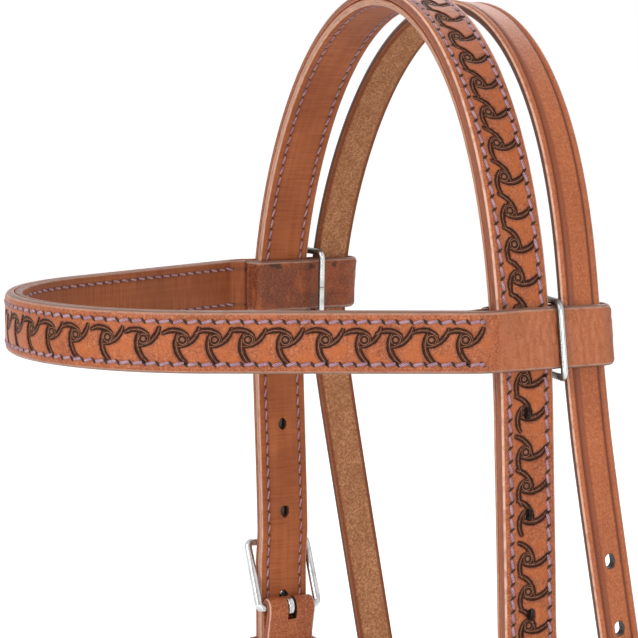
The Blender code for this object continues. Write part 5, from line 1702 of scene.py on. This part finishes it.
for label, seat in cheek_seats.items():
    neck = BIT_LOOP_NECK - CHEEK_LENGTH
    outside = seat.chape_out + SEAT_GAP
    inside = seat.chape_mid - FACE_PLY - PLY_GAP - FACE_PLY / 2 - SEAT_GAP
    head, barrel, bore, shank = (size / 2 for size in (POST_HEAD, POST_DIAMETER, POST_BORE, SCREW_SHANK))
    bore_end = outside - SEAT_GAP
    post_shape = dome(head, outside, POST_HEAD_HEIGHT, 1)[::-1] + [
        (barrel, outside), (barrel, inside + SEAT_GAP), (bore, inside + SEAT_GAP), (bore, bore_end), (0, bore_end)]
    screw_shape = [(0, bore_end - SEAT_GAP), (shank, bore_end - SEAT_GAP), (shank, inside)]
    screw_shape += dome(head, inside, POST_HEAD_HEIGHT, -1)
    for place, up in (("lower", neck + POST_ABOVE_NECK), ("upper", neck + POST_ABOVE_NECK + POST_PITCH)):
        post = turned_piece(f"cheek_{label}_{place}_domed_post", seat.spot, up, post_shape)
        finish_piece(post, buckle_steel, "stainless_steel", "headstall", f"cheek_{label}_{place}_post")
        screw = turned_piece(f"cheek_{label}_{place}_slotted_screw", seat.spot, up, screw_shape)
        low, high = inside - POST_HEAD_HEIGHT - SLOT_DEPTH, inside - POST_HEAD_HEIGHT + SLOT_DEPTH
        cut_out(screw, [box_cutter(seat.spot, (low, high), (-head, head), (up - SLOT_WIDTH / 2, up + SLOT_WIDTH / 2))])
        finish_piece(screw, buckle_steel, "stainless_steel", "headstall", f"cheek_{label}_{place}_screw")


# Stitching: waxed lilac thread in two rows, a lock stitch that shows on the face and on the lining. Each stitch
# lies in a pressed channel and dips into a needle hole at both ends.
STITCH_LENGTH = 0.0037
STITCH_THICK = 0.00112
LINING_STITCH_THICK = 0.00072
STITCH_FLATNESS = 0.85
KNOT_SIZE = 0.0013
KNOT_SHAPE = (1.3, 1.0, 0.8)
STITCH_SLANT = math.radians(12)
STITCH_SHAKE = 0.07
STITCH_SINK = 0.00012
STITCH_BOW = -0.65
STITCH_END_SPREAD = 0.55


def stitch_tree():
    """Geometry Nodes: one bowed stitch at each point, turned along its row and its leather."""
    tree, given, identifiers = group_tree("stitch_rows", "Places", "Stitches", {
        "Slant": ("Float", 0.0), "Seed": ("Int", 1), "Thread": ("Material", None)})

    def made(kind, inputs=None, output=0, **settings):
        return Value(tree, add_node(tree, kind, inputs, **settings).outputs[output])

    def named(name, kind="FLOAT_VECTOR"):
        return made("GeometryNodeInputNamedAttribute", {"Name": name}, "Attribute", data_type=kind)

    thread = made("GeometryNodeMeshUVSphere", {"Segments": 8, "Rings": 6, "Radius": 0.5})
    laid = made("GeometryNodeTransform", {"Geometry": thread, "Rotation": (0, math.pi / 2, 0)})
    place = made("GeometryNodeInputPosition")
    x, y, z = (Value(tree, output) for output in add_node(tree, "ShaderNodeSeparateXYZ", {0: place}).outputs)
    reach = abs(x * 2.0)
    fuller = reach.math("POWER", 3.0) * STITCH_END_SPREAD + 1.0
    bow = reach.math("POWER", 4.0) * STITCH_BOW
    bent_place = made("ShaderNodeCombineXYZ", {"X": x, "Y": y * fuller, "Z": z * fuller + bow})
    bent = made("GeometryNodeSetPosition", {"Geometry": laid, "Position": bent_place})
    kept = made("GeometryNodeStoreNamedAttribute", {"Name": "thread", "Geometry": bent, "Value": place},
                data_type="FLOAT_VECTOR", domain="POINT")
    soft = made("GeometryNodeSetShadeSmooth", {"Geometry": kept})
    along = made("FunctionNodeAlignRotationToVector", {"Vector": named("row_run")}, axis="X")
    upright = made("FunctionNodeAlignRotationToVector", {"Rotation": along, "Vector": named("row_out")},
                   axis="Z", pivot_axis="X")
    shake = made("FunctionNodeRandomValue", {2: -STITCH_SHAKE, 3: STITCH_SHAKE, "Seed": given["Seed"]}, 1,
                 data_type="FLOAT")
    turn = Value(tree, given["Slant"]) * named("lean", "FLOAT") + shake
    tilt = made("FunctionNodeAxisAngleToRotation", {"Axis": (0, 0, 1), "Angle": turn})
    slanted = made("FunctionNodeRotateRotation", {"Rotation": upright, "Rotate By": tilt}, rotation_space="LOCAL")
    sewn = made("GeometryNodeInstanceOnPoints", {"Points": given["Places"], "Instance": soft, "Rotation": slanted,
                                                 "Scale": named("stitch_size")})
    end_tree(tree, sewn, given["Thread"], "Stitches")
    return tree, identifiers


THREAD_LILAC = (0.42, 0.235, 0.29)
THREAD_GROOVE_SHADE = (0.16, 0.060, 0.085)
THREAD_PALE = (0.62, 0.44, 0.49)


def thread_finish():
    """Lilac thread, laid up from strands, with painted shade in the grooves between them and paler in patches."""
    finish = Finish("lilac_thread")
    along, over, _ = finish.parts(finish.attribute("thread", "Vector"))
    strand = (along * 30 + over * 9).math("SINE")
    patchy = finish.rise(finish.noise(finish.place(), 480, 2), 0.35, 0.65)
    # Painted shade in the grooves between the strands.
    colour = finish.mix(finish.rise(strand, -0.9, 0.2), THREAD_GROOVE_SHADE, THREAD_LILAC)
    finish.set(Base_Color=finish.mix(patchy * 0.35, colour, THREAD_PALE), Roughness=0.62,
               Normal=finish.bump(strand, 0.00005))
    return finish.material


STITCH_TREE = stitch_tree()
lilac_thread = thread_finish()


class Sewing:
    """Places for stitches, gathered for one body."""

    def __init__(self):
        self.places, self.along, self.out, self.size, self.lean = [], [], [], [], []

    def add(self, route, runs, sides, height, thick):
        """Stitches on a strap's grain side, each between two places in its row."""
        start = route.at(runs[:-1], sides[:-1], height)
        end = route.at(runs[1:], sides[1:], height)
        self.places.extend((start + end) / 2)
        self.along.extend(unit(end - start))
        self.out.extend(route.normal_at((runs[:-1] + runs[1:]) / 2))
        self.size.extend([(STITCH_LENGTH, thick, thick * STITCH_FLATNESS)] * (len(runs) - 1))
        self.lean.extend([-1 if thick == LINING_STITCH_THICK else 1] * (len(runs) - 1))

    def rows(self, route, start, end, height, thick=STITCH_THICK, tip=False):
        """Both rows of a strap, with their needle holes a pitch apart."""
        count = int(round((end - start) / STITCH_PITCH))
        runs = start + STITCH_PITCH * np.arange(count + 1)
        row = np.broadcast_to(stitch_row(runs, CROWN_LENGTH, tip), runs.shape)
        for hand in (1, -1):
            self.add(route, runs, hand * row, height, thick)

    def knots(self, route, spots, height):
        """Fat knots where a row ends."""
        for run, side in spots:
            self.places.extend(route.at(run, side, height))
            self.along.extend(route.tangent_at([run]))
            self.out.extend(route.normal_at([run]))
            self.size.append(tuple(KNOT_SIZE * share for share in KNOT_SHAPE))
            self.lean.append(1)

    def sew(self, name, body, seed):
        """Lay all the stitches as one mesh that rides with a body."""
        mesh = bpy.data.meshes.new(name + "_places")
        mesh.from_pydata([tuple(place) for place in self.places], [], [])
        for key, values in (("row_run", self.along), ("row_out", self.out), ("stitch_size", self.size)):
            layer = mesh.attributes.new(key, "FLOAT_VECTOR", "POINT")
            layer.data.foreach_set("vector", np.asarray(values, np.float32).ravel())
        mesh.attributes.new("lean", "FLOAT", "POINT").data.foreach_set("value", np.asarray(self.lean, np.float32))
        values = {"Slant": STITCH_SLANT, "Seed": seed, "Thread": lilac_thread}
        piece = grown(name, mesh, STITCH_TREE, values)
        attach(piece, body)


CHAPE_STITCH_UP = -0.0235
CHAPE_STITCH_SIDE = 0.0026
CHAPE_NEEDLE_HOLES = 4

main_sewing, band_sewing = Sewing(), Sewing()
crown_height = STRAP_THICK / 2 - STITCH_SINK
face_height, lining_height = FACE_PLY / 2 - STITCH_SINK, LINING_PLY / 2 - STITCH_SINK
crown_end = CROWN_STITCH_START + STITCH_PITCH * int((CROWN_LENGTH - 2 * CROWN_STITCH_START) / STITCH_PITCH)
main_sewing.rows(crown, CROWN_STITCH_START, crown_end, crown_height, tip=True)
main_sewing.rows(crown_inside, CROWN_STITCH_START, crown_end, crown_height, LINING_STITCH_THICK, tip=True)
for cheek, first, last, inside, length in cheek_parts.values():
    main_sewing.rows(cheek, first, last, face_height)
    main_sewing.rows(inside, CHEEK_LINING_STITCH_START, length - CHEEK_LINING_STITCH_START, lining_height,
                     LINING_STITCH_THICK)
chape_start = throat.run_nearest(throat_spot.at(throat_seat.chape_mid, 0, CHAPE_STITCH_UP))
chape_runs = chape_start + STITCH_PITCH * np.arange(CHAPE_NEEDLE_HOLES)
for hand in (1, -1):
    main_sewing.add(throat, chape_runs, np.full(CHAPE_NEEDLE_HOLES, hand * CHAPE_STITCH_SIDE),
                    THROAT_PLY / 2 - STITCH_SINK, STITCH_THICK)
main_sewing.sew("main_stitching", "headstall", 7)
band_sewing.rows(band, band_stitch_start, band_stitch_end, face_height)
band_sewing.rows(band_inside, BAND_LINING_STITCH_START, BAND_LINING_LENGTH - BAND_LINING_STITCH_START,
                 lining_height, LINING_STITCH_THICK)
band_sewing.knots(band, [(end, side) for end in (band_stitch_start, band_stitch_end)
                         for side in (STITCH_ROW, -STITCH_ROW)], FACE_PLY / 2)
band_sewing.sew("browband_stitching", "browband", 11)


# Room: a plain pale floor under the hanging headstall, soft studio light from the left and a white backdrop.
FLOOR_Z = -0.4505
FLOOR_HALF = 30.0
FLOOR_GLOW = 0.55
WORLD_LIGHT = 0.55
LAMPS_AIM = Vector((0, 0, -0.15))

floor_corners = [(x * FLOOR_HALF, y * FLOOR_HALF, FLOOR_Z) for x, y in ((-1, -1), (1, -1), (1, 1), (-1, 1))]
floor = mesh_piece("floor", floor_corners, [(0, 1, 2, 3)])


def seen_directly(tree):
    """1 on rays from the camera, off metal and through glass, and 0 on the rays that light the object."""
    light_path = add_node(tree, "ShaderNodeLightPath").outputs
    seen = Value(tree, light_path["Is Camera Ray"]).math("MAXIMUM", light_path["Is Glossy Ray"])
    return seen.math("MAXIMUM", light_path["Is Transmission Ray"])


floor_finish = Finish("pale_floor")
floor_finish.set(Base_Color=(0.86, 0.86, 0.86), Roughness=0.85, Specular_IOR_Level=0.1,
                 Emission_Color=(1.0, 1.0, 1.0), Emission_Strength=seen_directly(floor_finish.tree) * FLOOR_GLOW)
floor.data.materials.append(floor_finish.material)


def soft_lamp(name, place, size, power):
    """A square studio lamp that points at the headstall."""
    data = bpy.data.lights.new(name, "AREA")
    data.size = size
    data.energy = power
    lamp = bpy.data.objects.new(name, data)
    lamp.location = place
    lamp.rotation_euler = (LAMPS_AIM - Vector(place)).to_track_quat("-Z", "Y").to_euler()
    bpy.context.scene.collection.objects.link(lamp)


soft_lamp("key_lamp", (0.75, -1.75, 1.20), 1.1, 21)
soft_lamp("side_lamp", (2.1, -0.12, 0.25), 0.7, 11)
soft_lamp("edge_lamp", (0.80, -1.75, -0.25), 0.5, 5)
soft_lamp("back_lamp", (-1.4, 1.2, 1.2), 1.4, 12)

world = bpy.data.worlds.new("white_room")
bpy.context.scene.world = world
world.use_nodes = True
world_tree = world.node_tree
background = world_tree.nodes["Background"]
strength = add_node(world_tree, "ShaderNodeMapRange", {"Value": seen_directly(world_tree), "To Min": WORLD_LIGHT,
                                                       "To Max": 1.0})
put(world_tree, strength.outputs[0], background.inputs["Strength"])
background.inputs["Color"].default_value = (1, 1, 1, 1)
bpy.context.scene.view_settings.view_transform = "Standard"
